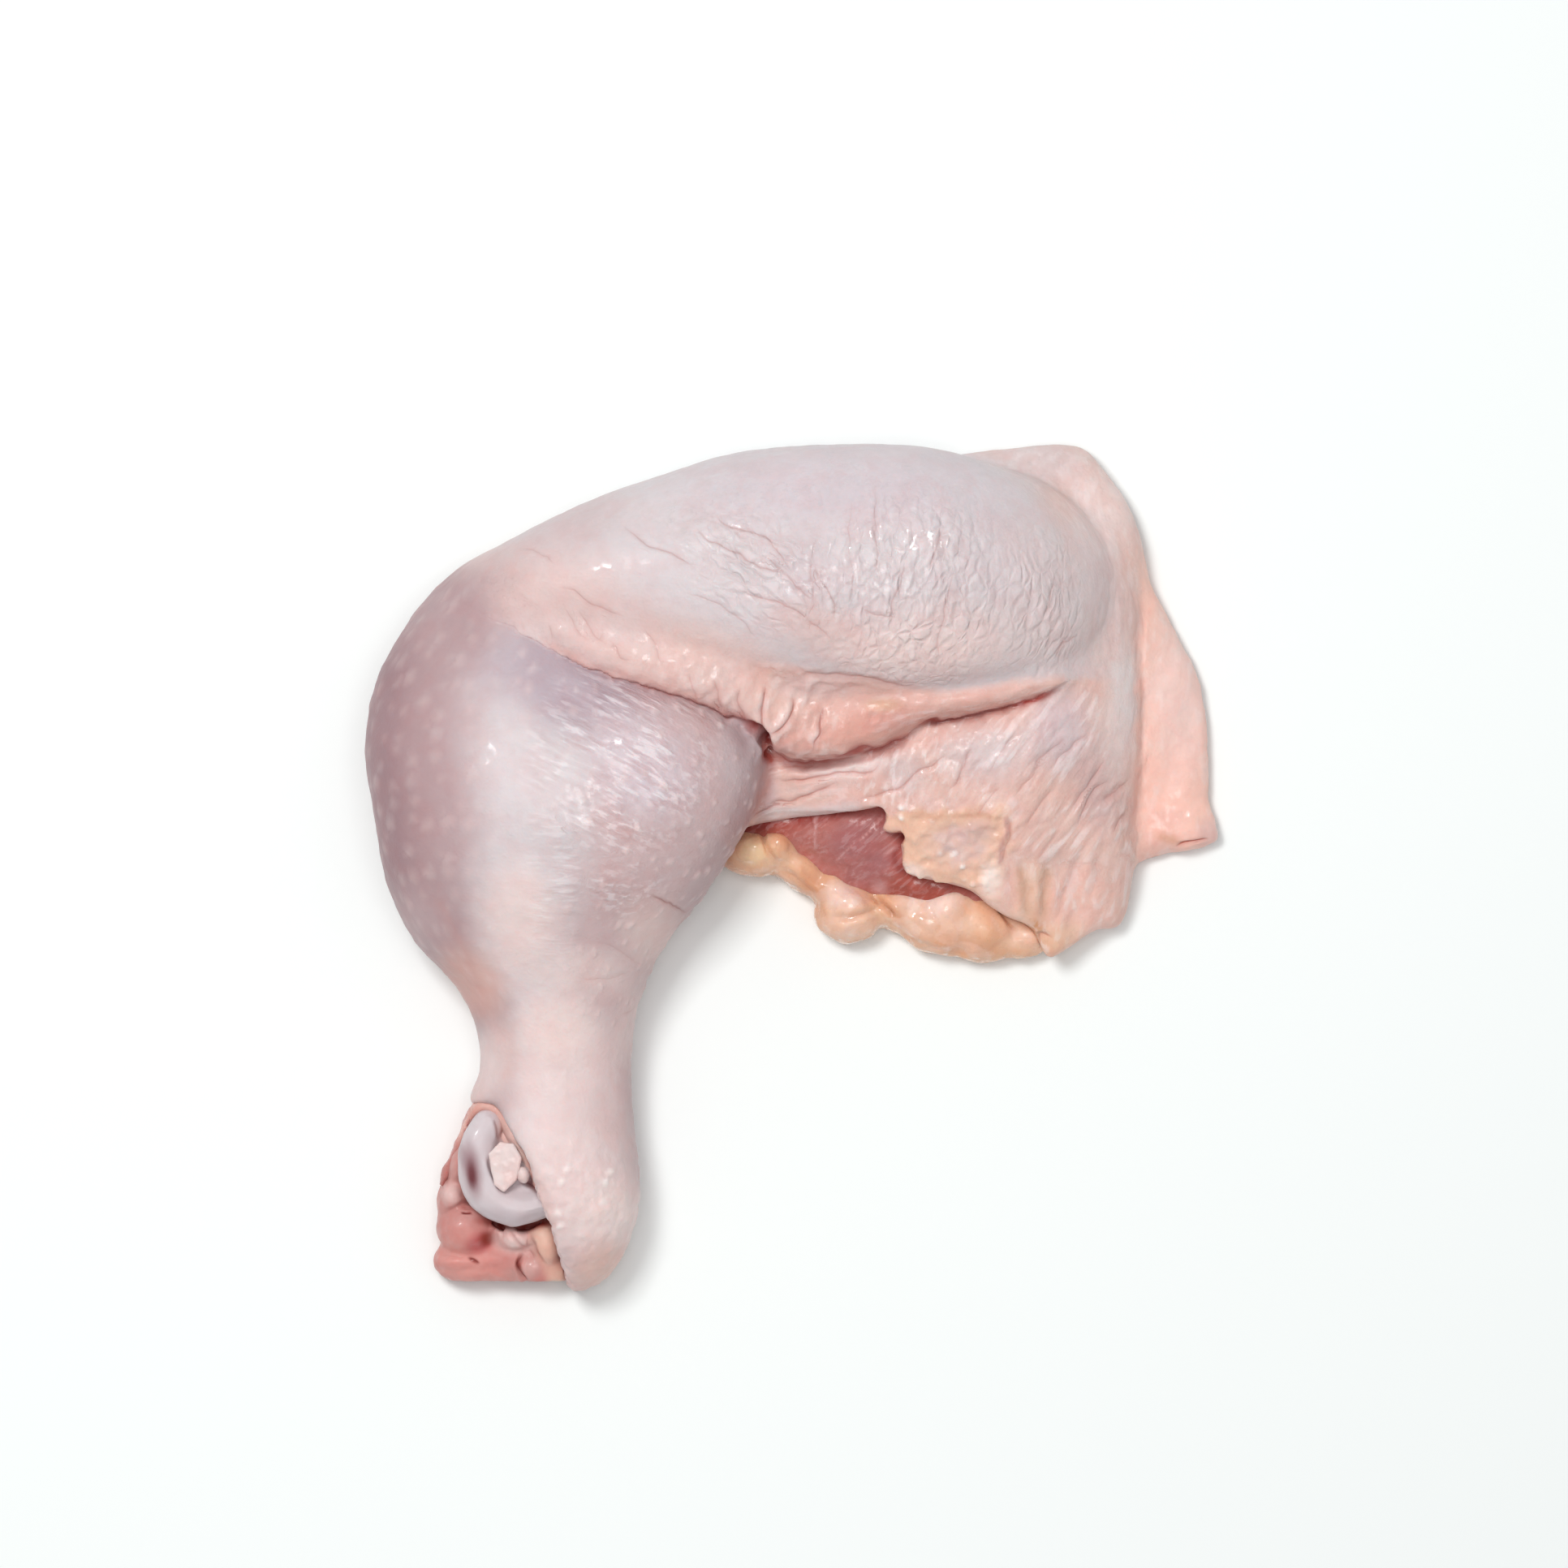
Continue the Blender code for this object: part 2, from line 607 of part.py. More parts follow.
def main():
    clear_scene()
    bone = make_bone()
    skin = make_skin()
    bone_room = grown(bone, "bone_room", GAP)
    skin_room = grown(skin, "skin_room", GAP)
    meat_room = limb("meat_room", MEAT_BODY, "X", count=20, grow=2 * GAP, around=24)
    fat, fat_room = make_fat(skin_room)
    meat = make_meat(skin_room, fat_room)
    tissue = make_tissue(skin_room, bone_room)
    chip = joined(prism("chip", CHIP_OUTLINE, *CHIP_LEVEL), bone_room, "DIFFERENCE", keep=True)
    skin = joined(joined(resting(skin), bone_room, "DIFFERENCE"), meat_room, "DIFFERENCE")
    bpy.data.objects.remove(skin_room)
    leg = bpy.data.collections.new("chicken_leg_quarter")
    bpy.context.scene.collection.children.link(leg)
    finish(skin, "skin_leg", leg, material("raw_skin", (0.70, 0.56, 0.56), 0.32))
    finish(meat, "thigh_meat", leg, material("raw_meat", (0.42, 0.13, 0.12), 0.30))
    finish(fat, "fat_lobes", leg, material("raw_fat", (0.78, 0.47, 0.30), 0.35))
    finish(bone, "shin_bone", leg, material("cartilage", (0.62, 0.56, 0.60), 0.25))
    finish(tissue, "hock_tissue", leg, material("cut_tissue", (0.60, 0.27, 0.25), 0.30))
    finish(chip, "cartilage_chip", leg, material("cartilage_white", (0.82, 0.72, 0.69), 0.35))


main()
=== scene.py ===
import itertools
import math

import bmesh
import bpy
import numpy as np
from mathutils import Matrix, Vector


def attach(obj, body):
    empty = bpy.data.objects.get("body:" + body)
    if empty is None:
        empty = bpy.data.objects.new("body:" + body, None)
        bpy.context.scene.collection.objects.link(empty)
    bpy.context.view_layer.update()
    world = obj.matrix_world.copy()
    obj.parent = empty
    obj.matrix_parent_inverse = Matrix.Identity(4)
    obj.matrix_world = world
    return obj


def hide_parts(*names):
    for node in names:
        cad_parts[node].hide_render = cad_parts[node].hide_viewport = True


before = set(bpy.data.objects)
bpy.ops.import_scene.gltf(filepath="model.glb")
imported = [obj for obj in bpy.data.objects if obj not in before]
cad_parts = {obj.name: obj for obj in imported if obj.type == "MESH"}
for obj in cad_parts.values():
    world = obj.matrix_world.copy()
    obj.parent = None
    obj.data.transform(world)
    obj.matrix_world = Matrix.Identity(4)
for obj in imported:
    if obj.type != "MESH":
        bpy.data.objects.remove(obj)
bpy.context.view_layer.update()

# A raw chicken leg quarter, seen from straight above. Sizes below are in millimetres, X to the right and
# Y up the picture, with 0, 0 at the middle of the footprint. Colours are as on a screen, 0 to 255.
mm = 0.001

view = {
    "distance": 2000.0,  # from the surface that the leg lies on
    "level": 16.0,  # height at which the frame has its stated width
    "frameWidth": 289.8,
    "middle": (-1.4, 14.9),
    "sensor": 36.0,
}

lights = {
    "sky": {"colour": (1.0, 1.0, 1.0), "strength": 0.43},
    "overhead": {"at": (0, 40, 900), "size": (300, 300), "power": 1.5, "colour": (1.0, 0.99, 0.98)},
    "key": {"at": (-270, 280, 1000), "size": (260, 260), "power": 5.6, "colour": (1.0, 0.99, 0.97),
            "matt": True},
    # small lamps that put points of light on wet crests
    "sparkLeft": {"at": (-500, 450, 800), "size": (60, 60), "power": 2.6, "colour": (1.0, 1.0, 1.0),
                  "gloss": True},
    "sparkRight": {"at": (260, 560, 820), "size": (60, 60), "power": 2.0, "colour": (1.0, 1.0, 1.0),
                   "gloss": True},
}


def makeCamera():
    camera = bpy.data.cameras.new("camera")
    camera.sensor_width = view["sensor"]
    camera.lens = view["sensor"] * (view["distance"] - view["level"]) / view["frameWidth"]
    camera.clip_end = 10
    obj = bpy.data.objects.new("camera", camera)
    obj.location = (view["middle"][0] * mm, view["middle"][1] * mm, view["distance"] * mm)
    bpy.context.scene.collection.objects.link(obj)
    bpy.context.scene.camera = obj
    print("camera ready")


def makeLights():
    world = bpy.data.worlds.new("softSky")
    world.use_nodes = True
    sky = world.node_tree.nodes["Background"]
    sky.inputs["Color"].default_value = (*lights["sky"]["colour"], 1)
    sky.inputs["Strength"].default_value = lights["sky"]["strength"]
    bpy.context.scene.world = world
    for name, made in list(lights.items())[1:]:
        lamp = bpy.data.lights.new(name, "AREA")
        lamp.shape = "RECTANGLE"
        lamp.size = made["size"][0] * mm
        lamp.size_y = made["size"][1] * mm
        lamp.energy = made["power"]
        lamp.color = made["colour"]
        obj = bpy.data.objects.new(name, lamp)
        obj.location = Vector(made["at"]) * mm
        aim = Vector((0, 10, 15)) * mm - obj.location
        obj.rotation_euler = aim.to_track_quat("-Z", "Y").to_euler()
        obj.visible_camera = False
        obj.visible_glossy = not made.get("matt")
        obj.visible_diffuse = not made.get("gloss")
        bpy.context.scene.collection.objects.link(obj)
    bpy.context.scene.view_settings.view_transform = "Standard"
    print("lights ready")


def readPoints(mesh, field="co", unit=mm):
    flat = np.empty(len(mesh.vertices) * 3, np.float32)
    mesh.vertices.foreach_get(field, flat)
    return flat.reshape(-1, 3).astype(float) / unit


def readNormals(mesh):
    return readPoints(mesh, "normal", 1)


def writePoints(mesh, points):
    mesh.vertices.foreach_set("co", (points * mm).astype(np.float32).ravel())
    mesh.update()


def seenFromAbove(points):
    # where each point appears in the picture, in millimetres at the view's level
    middle = np.array(view["middle"])
    spread = (view["distance"] - view["level"]) / (view["distance"] - points[:, 2:3])
    return middle + (points[:, :2] - middle) * spread


def applied(obj):
    # the object with its modifiers made real
    bpy.context.view_layer.update()
    graph = bpy.context.evaluated_depsgraph_get()
    mesh = bpy.data.meshes.new_from_object(obj.evaluated_get(graph))
    old = obj.data
    obj.modifiers.clear()
    obj.data = mesh
    bpy.data.meshes.remove(old)
    return obj


def fineCopy(node, name, voxel, rounds, levels):
    # a fine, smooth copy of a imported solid, free of its facets
    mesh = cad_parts[node].data.copy()
    bm = bmesh.new()
    bm.from_mesh(mesh)
    bmesh.ops.remove_doubles(bm, verts=bm.verts, dist=1e-6)
    bm.to_mesh(mesh)
    bm.free()
    mesh.name = name
    mesh.materials.clear()
    obj = bpy.data.objects.new(name, mesh)
    bpy.context.scene.collection.objects.link(obj)
    remesh = obj.modifiers.new("remesh", "REMESH")
    remesh.mode = "VOXEL"
    remesh.voxel_size = voxel * mm * 1
    smooth = obj.modifiers.new("smooth", "SMOOTH")
    smooth.factor = 0.5
    smooth.iterations = rounds
    if levels:
        finer = obj.modifiers.new("finer", "SUBSURF")
        finer.levels = levels
        finer.render_levels = levels
    return applied(obj)


def thinTo(obj, triangles):
    # fewer faces where the surface is plain
    count = sum(len(p.vertices) - 2 for p in obj.data.polygons)
    if count > triangles:
        thin = obj.modifiers.new("thin", "DECIMATE")
        thin.ratio = triangles / count
        applied(obj)
    obj.data.shade_smooth()
    print(obj.name, "has", len(obj.data.polygons), "faces, from", count)


def started(node, name, made, levels=1):
    # a piece's fine copy, its points and normals, and where the points appear
    obj = fineCopy(node, name, made["voxel"], made["rounds"], levels)
    points = readPoints(obj.data)
    return obj, points, readNormals(obj.data), seenFromAbove(points)


def objectOf(name, bm):
    mesh = bpy.data.meshes.new(name)
    bm.to_mesh(mesh)
    bm.free()
    obj = bpy.data.objects.new(name, mesh)
    bpy.context.scene.collection.objects.link(obj)
    return obj


def addBall(bm, ball, level, subdivisions):
    angle = math.radians(ball["turn"])
    for v in bmesh.ops.create_icosphere(bm, subdivisions=subdivisions, radius=1)["verts"]:
        x, y, z = (c * s for c, s in zip(v.co, ball["size"]))
        v.co = Vector((ball["at"][0] + x * math.cos(angle) - y * math.sin(angle),
                       ball["at"][1] + x * math.sin(angle) + y * math.cos(angle), level + z)) * mm


def hashed(cells, seed):
    cells = cells.astype(np.int64).astype(np.uint64)
    n = cells[..., 0] * np.uint64(73856093) ^ cells[..., 1] * np.uint64(19349663)
    n = n ^ cells[..., 2] * np.uint64(83492791) ^ np.uint64(seed * 2654435761 % 2**32)
    n = ((n ^ (n >> np.uint64(15))) * np.uint64(2246822519)) & np.uint64(0xFFFFFFFF)
    n = ((n ^ (n >> np.uint64(13))) * np.uint64(3266489917)) & np.uint64(0xFFFFFFFF)
    return n ^ (n >> np.uint64(16))


def hashedSpots(cells, seed):
    # three numbers from 0 to 1 for each cell
    mixed = hashed(cells, seed)
    return np.stack([((mixed >> np.uint64(s)) & np.uint64(1023)).astype(float) / 1023 for s in (0, 10, 20)],
                    -1)


def swell(points, seed):
    # smooth noise, about -1 to 1, one lump to a unit
    low = np.floor(points)
    part = points - low
    fade = part**3 * (part * (part * 6 - 15) + 10)
    total = np.zeros(len(points))
    for corner in itertools.product((0, 1), repeat=3):
        step = np.array(corner)
        slope = hashedSpots(low + step, seed) * 2 - 1
        weight = np.prod(np.where(step, fade, 1 - fade), axis=1)
        total += weight * np.sum(slope * (part - step), axis=1)
    return total * 1.5


def strayed(points, size, seeds):
    # one slow drift to a seed
    return np.stack([swell(points / size, s) for s in seeds], -1)


def drawnOut(points, heading, length, width):
    # places counted in cells that are long along a heading, in degrees from X
    turn = math.radians(heading)
    along = points[:, 0] * math.cos(turn) + points[:, 1] * math.sin(turn)
    across = -points[:, 0] * math.sin(turn) + points[:, 1] * math.cos(turn)
    return np.stack([along / length, across / width, points[:, 2] / width], -1)


def cells(places, scatter, seed):
    # distance to the nearest spot, how much farther the next one is, and the spot's own number
    low = np.floor(places)
    near = np.full(len(places), 9.0)
    after = np.full(len(places), 9.0)
    own = np.zeros(len(places))
    for corner in itertools.product((-1, 0, 1), repeat=3):
        cell = low + np.array(corner)
        spot = hashedSpots(cell, seed)
        away = np.linalg.norm(cell + 0.5 + (spot - 0.5) * scatter - places, axis=1)
        closer = away < near
        after = np.where(closer, near, np.minimum(after, away))
        near = np.where(closer, away, near)
        own = np.where(closer, spot[:, 0], own)
    return near, after - near, own


def flowOf(points, parts):
    # cell places for wrinkles that run along several headings, and how strong they are; each part is its
    # mask, heading, length and width, and the strongest mask at a point wins
    best = np.zeros(len(points))
    second = np.zeros(len(points))
    flow = np.zeros((len(points), 3))
    for mask, heading, length, width in parts:
        closer = mask > best
        second = np.where(closer, best, np.maximum(second, mask))
        best = np.maximum(best, mask)
        flow[closer] = drawnOut(points[closer], heading, length, width)
    return flow, best * ramp(best - second, 0.0, 0.3)


def ramp(value, low, high):
    t = np.clip((value - low) / (high - low), 0, 1)
    return t * t * (3 - 2 * t)


def bell(away, width):
    return np.exp(-((away / width) ** 2))


def faded(share, reach, start=-0.02):
    # 0 at both ends of a line, easing to 1
    return ramp(np.minimum(share, 1 - share), start, reach)


def patch(flat, at, size, turn=0, soft=0.5):
    # 1 inside an oval, easing to 0 at its rim
    angle = math.radians(turn)
    dx, dy = flat[:, 0] - at[0], flat[:, 1] - at[1]
    a = (dx * math.cos(angle) + dy * math.sin(angle)) / size[0]
    b = (-dx * math.sin(angle) + dy * math.cos(angle)) / size[1]
    return ramp(np.hypot(a, b), 1, 1 - soft)


def rounded(path, steps=6):
    # a smooth line through the points of a path
    path = np.array(path, float)
    ends = np.vstack([2 * path[0] - path[1], path, 2 * path[-1] - path[-2]])
    made = []
    for a, b, c, d in zip(ends, ends[1:], ends[2:], ends[3:]):
        for t in np.linspace(0, 1, steps, endpoint=False):
            bent = (2 * a - 5 * b + 4 * c - d) * t**2
            made.append(0.5 * (2 * b + (c - a) * t + bent + (3 * b - a - 3 * c + d) * t**3))
    return np.vstack([made, path[-1:]])


def alongPath(flat, path, reach):
    # the points within reach of a line: their indices, distance, side (+1 on its left) and share of the way
    line = rounded(path)
    low, high = line.min(0) - reach, line.max(0) + reach
    near = np.nonzero(np.all((flat > low) & (flat < high), axis=1))[0]
    spots = flat[near]
    steps = np.linalg.norm(np.diff(line, axis=0), axis=1)
    starts = np.concatenate([[0], np.cumsum(steps)])
    best = np.full(len(near), float(reach))
    side = np.ones(len(near))
    share = np.zeros(len(near))
    for a, b, step, start in zip(line, line[1:], steps, starts):
        run = b - a
        t = np.clip((spots - a) @ run / step**2, 0, 1)
        away = spots - (a + t[:, None] * run)
        far = np.linalg.norm(away, axis=1)
        closer = far < best
        best = np.where(closer, far, best)
        side = np.where(closer, np.sign(run[0] * away[:, 1] - run[1] * away[:, 0]), side)
        share = np.where(closer, (start + t * step) / starts[-1], share)
    hit = best < reach
    return near[hit], best[hit], side[hit], share[hit]


def within(flat, outline):
    # which points lie inside a closed outline
    inside = np.zeros(len(flat), bool)
    line = np.array(outline, float)
    for (ax, ay), (bx, by) in zip(line, np.roll(line, -1, axis=0)):
        crosses = (ay > flat[:, 1]) != (by > flat[:, 1])
        where = (bx - ax) * (flat[:, 1] - ay) / (by - ay + 1e-12) + ax
        inside ^= crosses & (flat[:, 0] < where)
    return inside


def lineHeight(flat, line):
    line = np.array(line)
    return np.interp(flat[:, 0], line[:, 0], line[:, 1])


def lineAcross(flat, line):
    # the same for a line that runs down the picture
    line = np.array(line)
    return np.interp(-flat[:, 1], -line[:, 1], line[:, 0])


def light(colour):
    # a screen colour as the light that makes it
    c = np.array(colour, float) / 255
    return np.where(c <= 0.04045, c / 12.92, ((c + 0.055) / 1.055) ** 2.4)


def blended(colours, tone, amount):
    amount = np.clip(amount, 0, 1)[:, None]
    return colours * (1 - amount) + light(tone) * amount


def coated(colours, flat, tones, coats):
    for tone, at, size, turn, strength in coats:
        colours = blended(colours, tones[tone], patch(flat, at, size, turn, 0.8) * strength)
    return colours


def coloured(flat, made):
    # the first of a piece's tones under its coats
    ground = light(next(iter(made["tones"].values())))
    return coated(np.tile(ground, (len(flat), 1)), flat, made["tones"], made["coats"])


def paintLayer(mesh, name, values):
    # numbers, places or colours, one to a point
    kinds = {1: ("FLOAT", "value"), 3: ("FLOAT_VECTOR", "vector"), 4: ("FLOAT_COLOR", "color")}
    kind, field = kinds[values.size // len(values)]
    layer = mesh.attributes.new(name, kind, "POINT")
    layer.data.foreach_set(field, values.astype(np.float32).ravel())


def noLines(count):
    # for each point: distance to the nearest thin crease, the same signed by its side, and how dark the
    # painted shade along it is
    return {"away": np.full(count, 9.0), "signed": np.full(count, 9.0), "dark": np.zeros(count)}


def drawLine(lines, at, away, side, dark):
    closer = away < lines["away"][at]
    hit = at[closer]
    lines["away"][hit] = away[closer]
    lines["signed"][hit] = (away * side)[closer]
    lines["dark"][hit] = (dark * ramp(away, 1.1, 0.7))[closer]


def paintAll(mesh, colours, hollow, lines):
    paintLayer(mesh, "tone", np.hstack([colours, np.ones((len(colours), 1))]))
    paintLayer(mesh, "crease", hollow)
    paintLayer(mesh, "lineSide", lines["signed"])
    paintLayer(mesh, "lineDark", lines["dark"])


def paintFlow(mesh, points, kind, parts):
    flow, amount = flowOf(points, parts)
    paintLayer(mesh, kind + "Place", flow)
    paintLayer(mesh, kind + "Mask", amount)


def cutCreases(flat, normals, rise, hollow, lines, creases, least=0.0):
    # narrow folds with puffy lips, each given as its line, depth, width and the darkness of the painted shade
    # in it
    for path, deep, wide, dark in creases:
        at, away, side, share = alongPath(flat, path, max(wide * 4, 1.2))
        fade = faded(share, 0.25) * ramp(normals[at, 2], least, least + 0.4)
        cut = bell(away, wide)
        lips = bell(away - 1.9 * wide, wide)
        rise[at] += fade * deep * (0.35 * lips - 0.7 * cut)
        hollow[at] = np.maximum(hollow[at], fade * cut * dark)
        drawLine(lines, at, away, side, fade * dark)


def raised(points, normals, lumps):
    # soft swellings, each given as its middle, half sizes, turn and height
    rise = np.zeros(len(points))
    flat = seenFromAbove(points)
    for at, size, turn, high in lumps:
        rise += high * patch(flat, at, size, turn, 1.0)
    return rise * ramp(normals[:, 2], -0.1, 0.5)


def feed(tree, value, socket):
    if isinstance(value, bpy.types.NodeSocket):
        tree.links.new(value, socket)
    else:
        socket.default_value = value


def newGroup(name, inputs, outputs):
    # inputs with their first values, outputs with their kinds
    group = bpy.data.node_groups.new(name, "ShaderNodeTree")
    kinds = {3: "NodeSocketVector", 4: "NodeSocketColor"}
    for label, value in inputs.items():
        kind = kinds[len(value)] if isinstance(value, tuple) else "NodeSocketFloat"
        group.interface.new_socket(label, in_out="INPUT", socket_type=kind).default_value = value
    for label, kind in outputs.items():
        group.interface.new_socket(label, in_out="OUTPUT", socket_type="NodeSocket" + kind)
    return group, group.nodes.new("NodeGroupInput").outputs, group.nodes.new("NodeGroupOutput").inputs


def node(tree, kind, sockets, **settings):
    made = tree.nodes.new("ShaderNode" + kind)
    for key, value in settings.items():
        setattr(made, key, value)
    for label, value in sockets.items():
        feed(tree, value, made.inputs[label])
    return made.outputs


def combined(tree, operation, *given, clamp=False):
    return node(tree, "Math", dict(enumerate(given)), operation=operation, use_clamp=clamp)[0]


def eased(tree, value, low, high, start=0, end=1, kind="SMOOTHSTEP"):
    sockets = {"Value": value, "From Min": low, "From Max": high, "To Min": start, "To Max": end}
    return node(tree, "MapRange", sockets, interpolation_type=kind)["Result"]


def mixedColour(tree, blend, factor, first, second):
    sockets = {"Factor": factor, "A": first, "B": second}
    return node(tree, "Mix", sockets, data_type="RGBA", blend_type=blend)["Result"]


def noiseAt(tree, place, scale, detail, distortion=0, **settings):
    sockets = {"Vector": place, "Scale": scale, "Detail": detail, "Distortion": distortion}
    return node(tree, "TexNoise", sockets, **settings)


def ownPlace(tree):
    return node(tree, "TexCoord", {})["Object"]


def painted(tree, name, kind="Fac"):
    return node(tree, "Attribute", {}, attribute_name=name)[kind]


def makeMottle():
    # uneven colour: slow clouds and small blotches, and painted shade that darkens creases
    group, given, out = newGroup(
        "fleshMottle",
        {"Colour": (0.8, 0.6, 0.6, 1), "Shade": (0.5, 0.25, 0.22, 1), "Crease": 0.0, "Crease Strength": 0.5,
         "Cloud Size": 120.0, "Clouds": 0.25, "Blotch Size": 700.0, "Blotches": 0.15,
         "Tint": (1, 0.85, 0.84, 1), "Tint Size": 240.0, "Tint Amount": 0.5},
        {"Colour": "Color"},
    )
    place = ownPlace(group)
    colour = given["Colour"]
    for size, detail, amount in (("Cloud Size", 2, "Clouds"), ("Blotch Size", 3, "Blotches")):
        centred = combined(group, "SUBTRACT", noiseAt(group, place, given[size], detail)["Fac"], 0.5)
        scaled = combined(group, "MULTIPLY_ADD", centred, given[amount], 1)
        colour = node(group, "VectorMath", {0: colour, "Scale": scaled}, operation="SCALE")[0]
    drift = noiseAt(group, place, given["Tint Size"], 5, 0.4)["Fac"]
    share = combined(group, "MULTIPLY", eased(group, drift, 0.42, 0.62), given["Tint Amount"])
    colour = mixedColour(group, "MULTIPLY", share, colour, given["Tint"])
    depth = combined(group, "MULTIPLY", given["Crease"], given["Crease Strength"], clamp=True)
    feed(group, mixedColour(group, "MULTIPLY", depth, colour, given["Shade"]), out["Colour"])
    return group


def makeFibres():
    # fine ridges and furrows, drawn out as the painted places are, that come and go
    group, given, out = newGroup(
        "fineFibres",
        {"Place": (0, 0, 0), "Mask": 1.0},
        {"Height": "Float", "Ridge": "Float", "Furrow": "Float"},
    )
    strands = noiseAt(group, given["Place"], 1, 2, 0.25)["Fac"]
    slow = noiseAt(group, ownPlace(group), 170, 2)["Fac"]
    where = combined(group, "MULTIPLY", eased(group, slow, 0.38, 0.56, 0.25), given["Mask"])
    feed(group, combined(group, "MULTIPLY", strands, where), out["Height"])
    for low, high, label in ((0.5, 0.62, "Ridge"), (0.48, 0.36, "Furrow")):
        feed(group, combined(group, "MULTIPLY", eased(group, strands, low, high), where), out[label])
    return group


def makeFineGrain():
    # the finest relief, pores and hair-thin wrinkles, and a wet film that is smoother in places
    group, given, out = newGroup(
        "wetGrain",
        {"Wrinkle Size": 900.0, "Wrinkle Depth": 0.3, "Pore Size": 1400.0, "Pore Depth": 0.2,
         "Added Height": 0.0, "Relief": 0.0002, "Wetness": 0.5, "Rough": 0.45},
        {"Normal": "Vector", "Roughness": "Float", "Film": "Float"},
    )
    place = ownPlace(group)
    wrinkles = noiseAt(group, place, given["Wrinkle Size"], 3, 0.6, noise_type="RIDGED_MULTIFRACTAL")["Fac"]
    pores = node(group, "TexVoronoi", {"Vector": place, "Scale": given["Pore Size"]})["Distance"]
    height = combined(group, "MULTIPLY_ADD", wrinkles, given["Wrinkle Depth"], given["Added Height"])
    both = combined(group, "MULTIPLY_ADD", pores, given["Pore Depth"], height)
    bump = node(group, "Bump", {"Strength": 0.8, "Distance": given["Relief"], "Height": both})
    feed(group, bump["Normal"], out["Normal"])
    film = eased(group, noiseAt(group, place, 640, 2)["Fac"], 0.46, 0.62, kind="LINEAR")
    wetter = combined(group, "MULTIPLY", film, given["Wetness"], clamp=True)
    feed(group, wetter, out["Film"])
    feed(group, combined(group, "MULTIPLY_ADD", wetter, -0.3, given["Rough"]), out["Roughness"])
    return group


def makeNet():
    # soft cushions parted by thin lines
    group, given, out = newGroup(
        "skinNet",
        {"Place": (0, 0, 0), "Mask": 1.0},
        {"Height": "Float", "Line": "Float"},
    )
    drift = noiseAt(group, ownPlace(group), 160, 2)["Color"]
    centred = node(group, "VectorMath", {0: drift, 1: (0.5, 0.5, 0.5)}, operation="SUBTRACT")[0]
    sockets = {0: centred, 1: (1.1, 2.0, 1.5), 2: given["Place"]}
    turned = node(group, "VectorMath", sockets, operation="MULTIPLY_ADD")[0]
    edges = node(group, "TexVoronoi", {"Vector": turned, "Scale": 1}, feature="DISTANCE_TO_EDGE")["Distance"]
    for high, start, label in ((0.28, 0, "Height"), (0.075, 1, "Line")):
        shape = eased(group, edges, 0, high, start, 1 - start)
        feed(group, combined(group, "MULTIPLY", shape, given["Mask"]), out[label])
    return group


def makeThinLine():
    # painted shade along a crease that stays thin: dark only where the painted distance passes through zero
    group, given, out = newGroup("thinLine", {"Side": 9.0, "Dark": 0.0, "Width": 0.3}, {"Line": "Float"})
    shape = eased(group, combined(group, "ABSOLUTE", given["Side"]), 0.02, given["Width"], 1, 0)
    feed(group, combined(group, "MULTIPLY", shape, given["Dark"]), out["Line"])
    return group


mottleGroup = makeMottle()
fibreGroup = makeFibres()
grainGroup = makeFineGrain()
netGroup = makeNet()
lineGroup = makeThinLine()

# what each tissue's shader starts from
moistShader = {
    "Subsurface Weight": 0.25,
    "Subsurface Radius": (1.0, 0.4, 0.35),
    "Subsurface Scale": 0.001,
    "IOR": 1.4,
    "Coat Roughness": 0.12,
}


def makeFlesh(name, made):
    # one moist tissue: its colour comes from the paint on the mesh, its relief from the shared groups
    material = bpy.data.materials.new(name)
    material.use_nodes = True
    tree = material.node_tree
    shader = tree.nodes["Principled BSDF"]
    colour = painted(tree, "tone", "Color")
    # painted shade: the thin crease lines and the crease mask darken the colour towards the shade tone
    sockets = {"Side": painted(tree, "lineSide"), "Dark": painted(tree, "lineDark")}
    thin = node(tree, "Group", sockets, node_tree=lineGroup)["Line"]
    dark = combined(tree, "MAXIMUM", thin, combined(tree, "MULTIPLY", painted(tree, "crease"), 0.55))
    height = combined(tree, "MULTIPLY", thin, -0.9)
    # painted highlight on the crests of the net's cushions and the fibres' ridges, and painted shade in their
    # lines and furrows
    reliefs = (("net", netGroup, "Height", "Line"), ("fibre", fibreGroup, "Ridge", "Furrow"))
    for kind, group, crest, low in reliefs:
        if kind in made:
            sockets = {"Place": painted(tree, kind + "Place", "Vector"), "Mask": painted(tree, kind + "Mask")}
            shape = node(tree, "Group", sockets, node_tree=group)
            height = combined(tree, "MULTIPLY_ADD", shape["Height"], made[kind]["height"], height)
            dark = combined(tree, "MAXIMUM", dark, combined(tree, "MULTIPLY", shape[low], made[kind]["dark"]))
            amount = combined(tree, "MULTIPLY", shape[crest], made[kind]["paint"])
            colour = mixedColour(tree, "SCREEN", amount, colour, (0.42, 0.38, 0.4, 1))
    sockets = {"Colour": colour, "Crease": dark, "Shade": (*made["shade"], 1), **made["mottle"]}
    mottle = node(tree, "Group", sockets, node_tree=mottleGroup)
    sockets = {"Added Height": height, **made["grain"]}
    if "moist" in made:
        sockets["Wetness"] = painted(tree, made["moist"])
    wet = node(tree, "Group", sockets, node_tree=grainGroup)
    sockets = {"Base Color": mottle["Colour"], "Normal": wet["Normal"], "Roughness": wet["Roughness"],
               "Coat Weight": wet["Film"], **moistShader, **made.get("shader", {})}
    for label, value in sockets.items():
        feed(tree, value, shader.inputs[label])
    return material


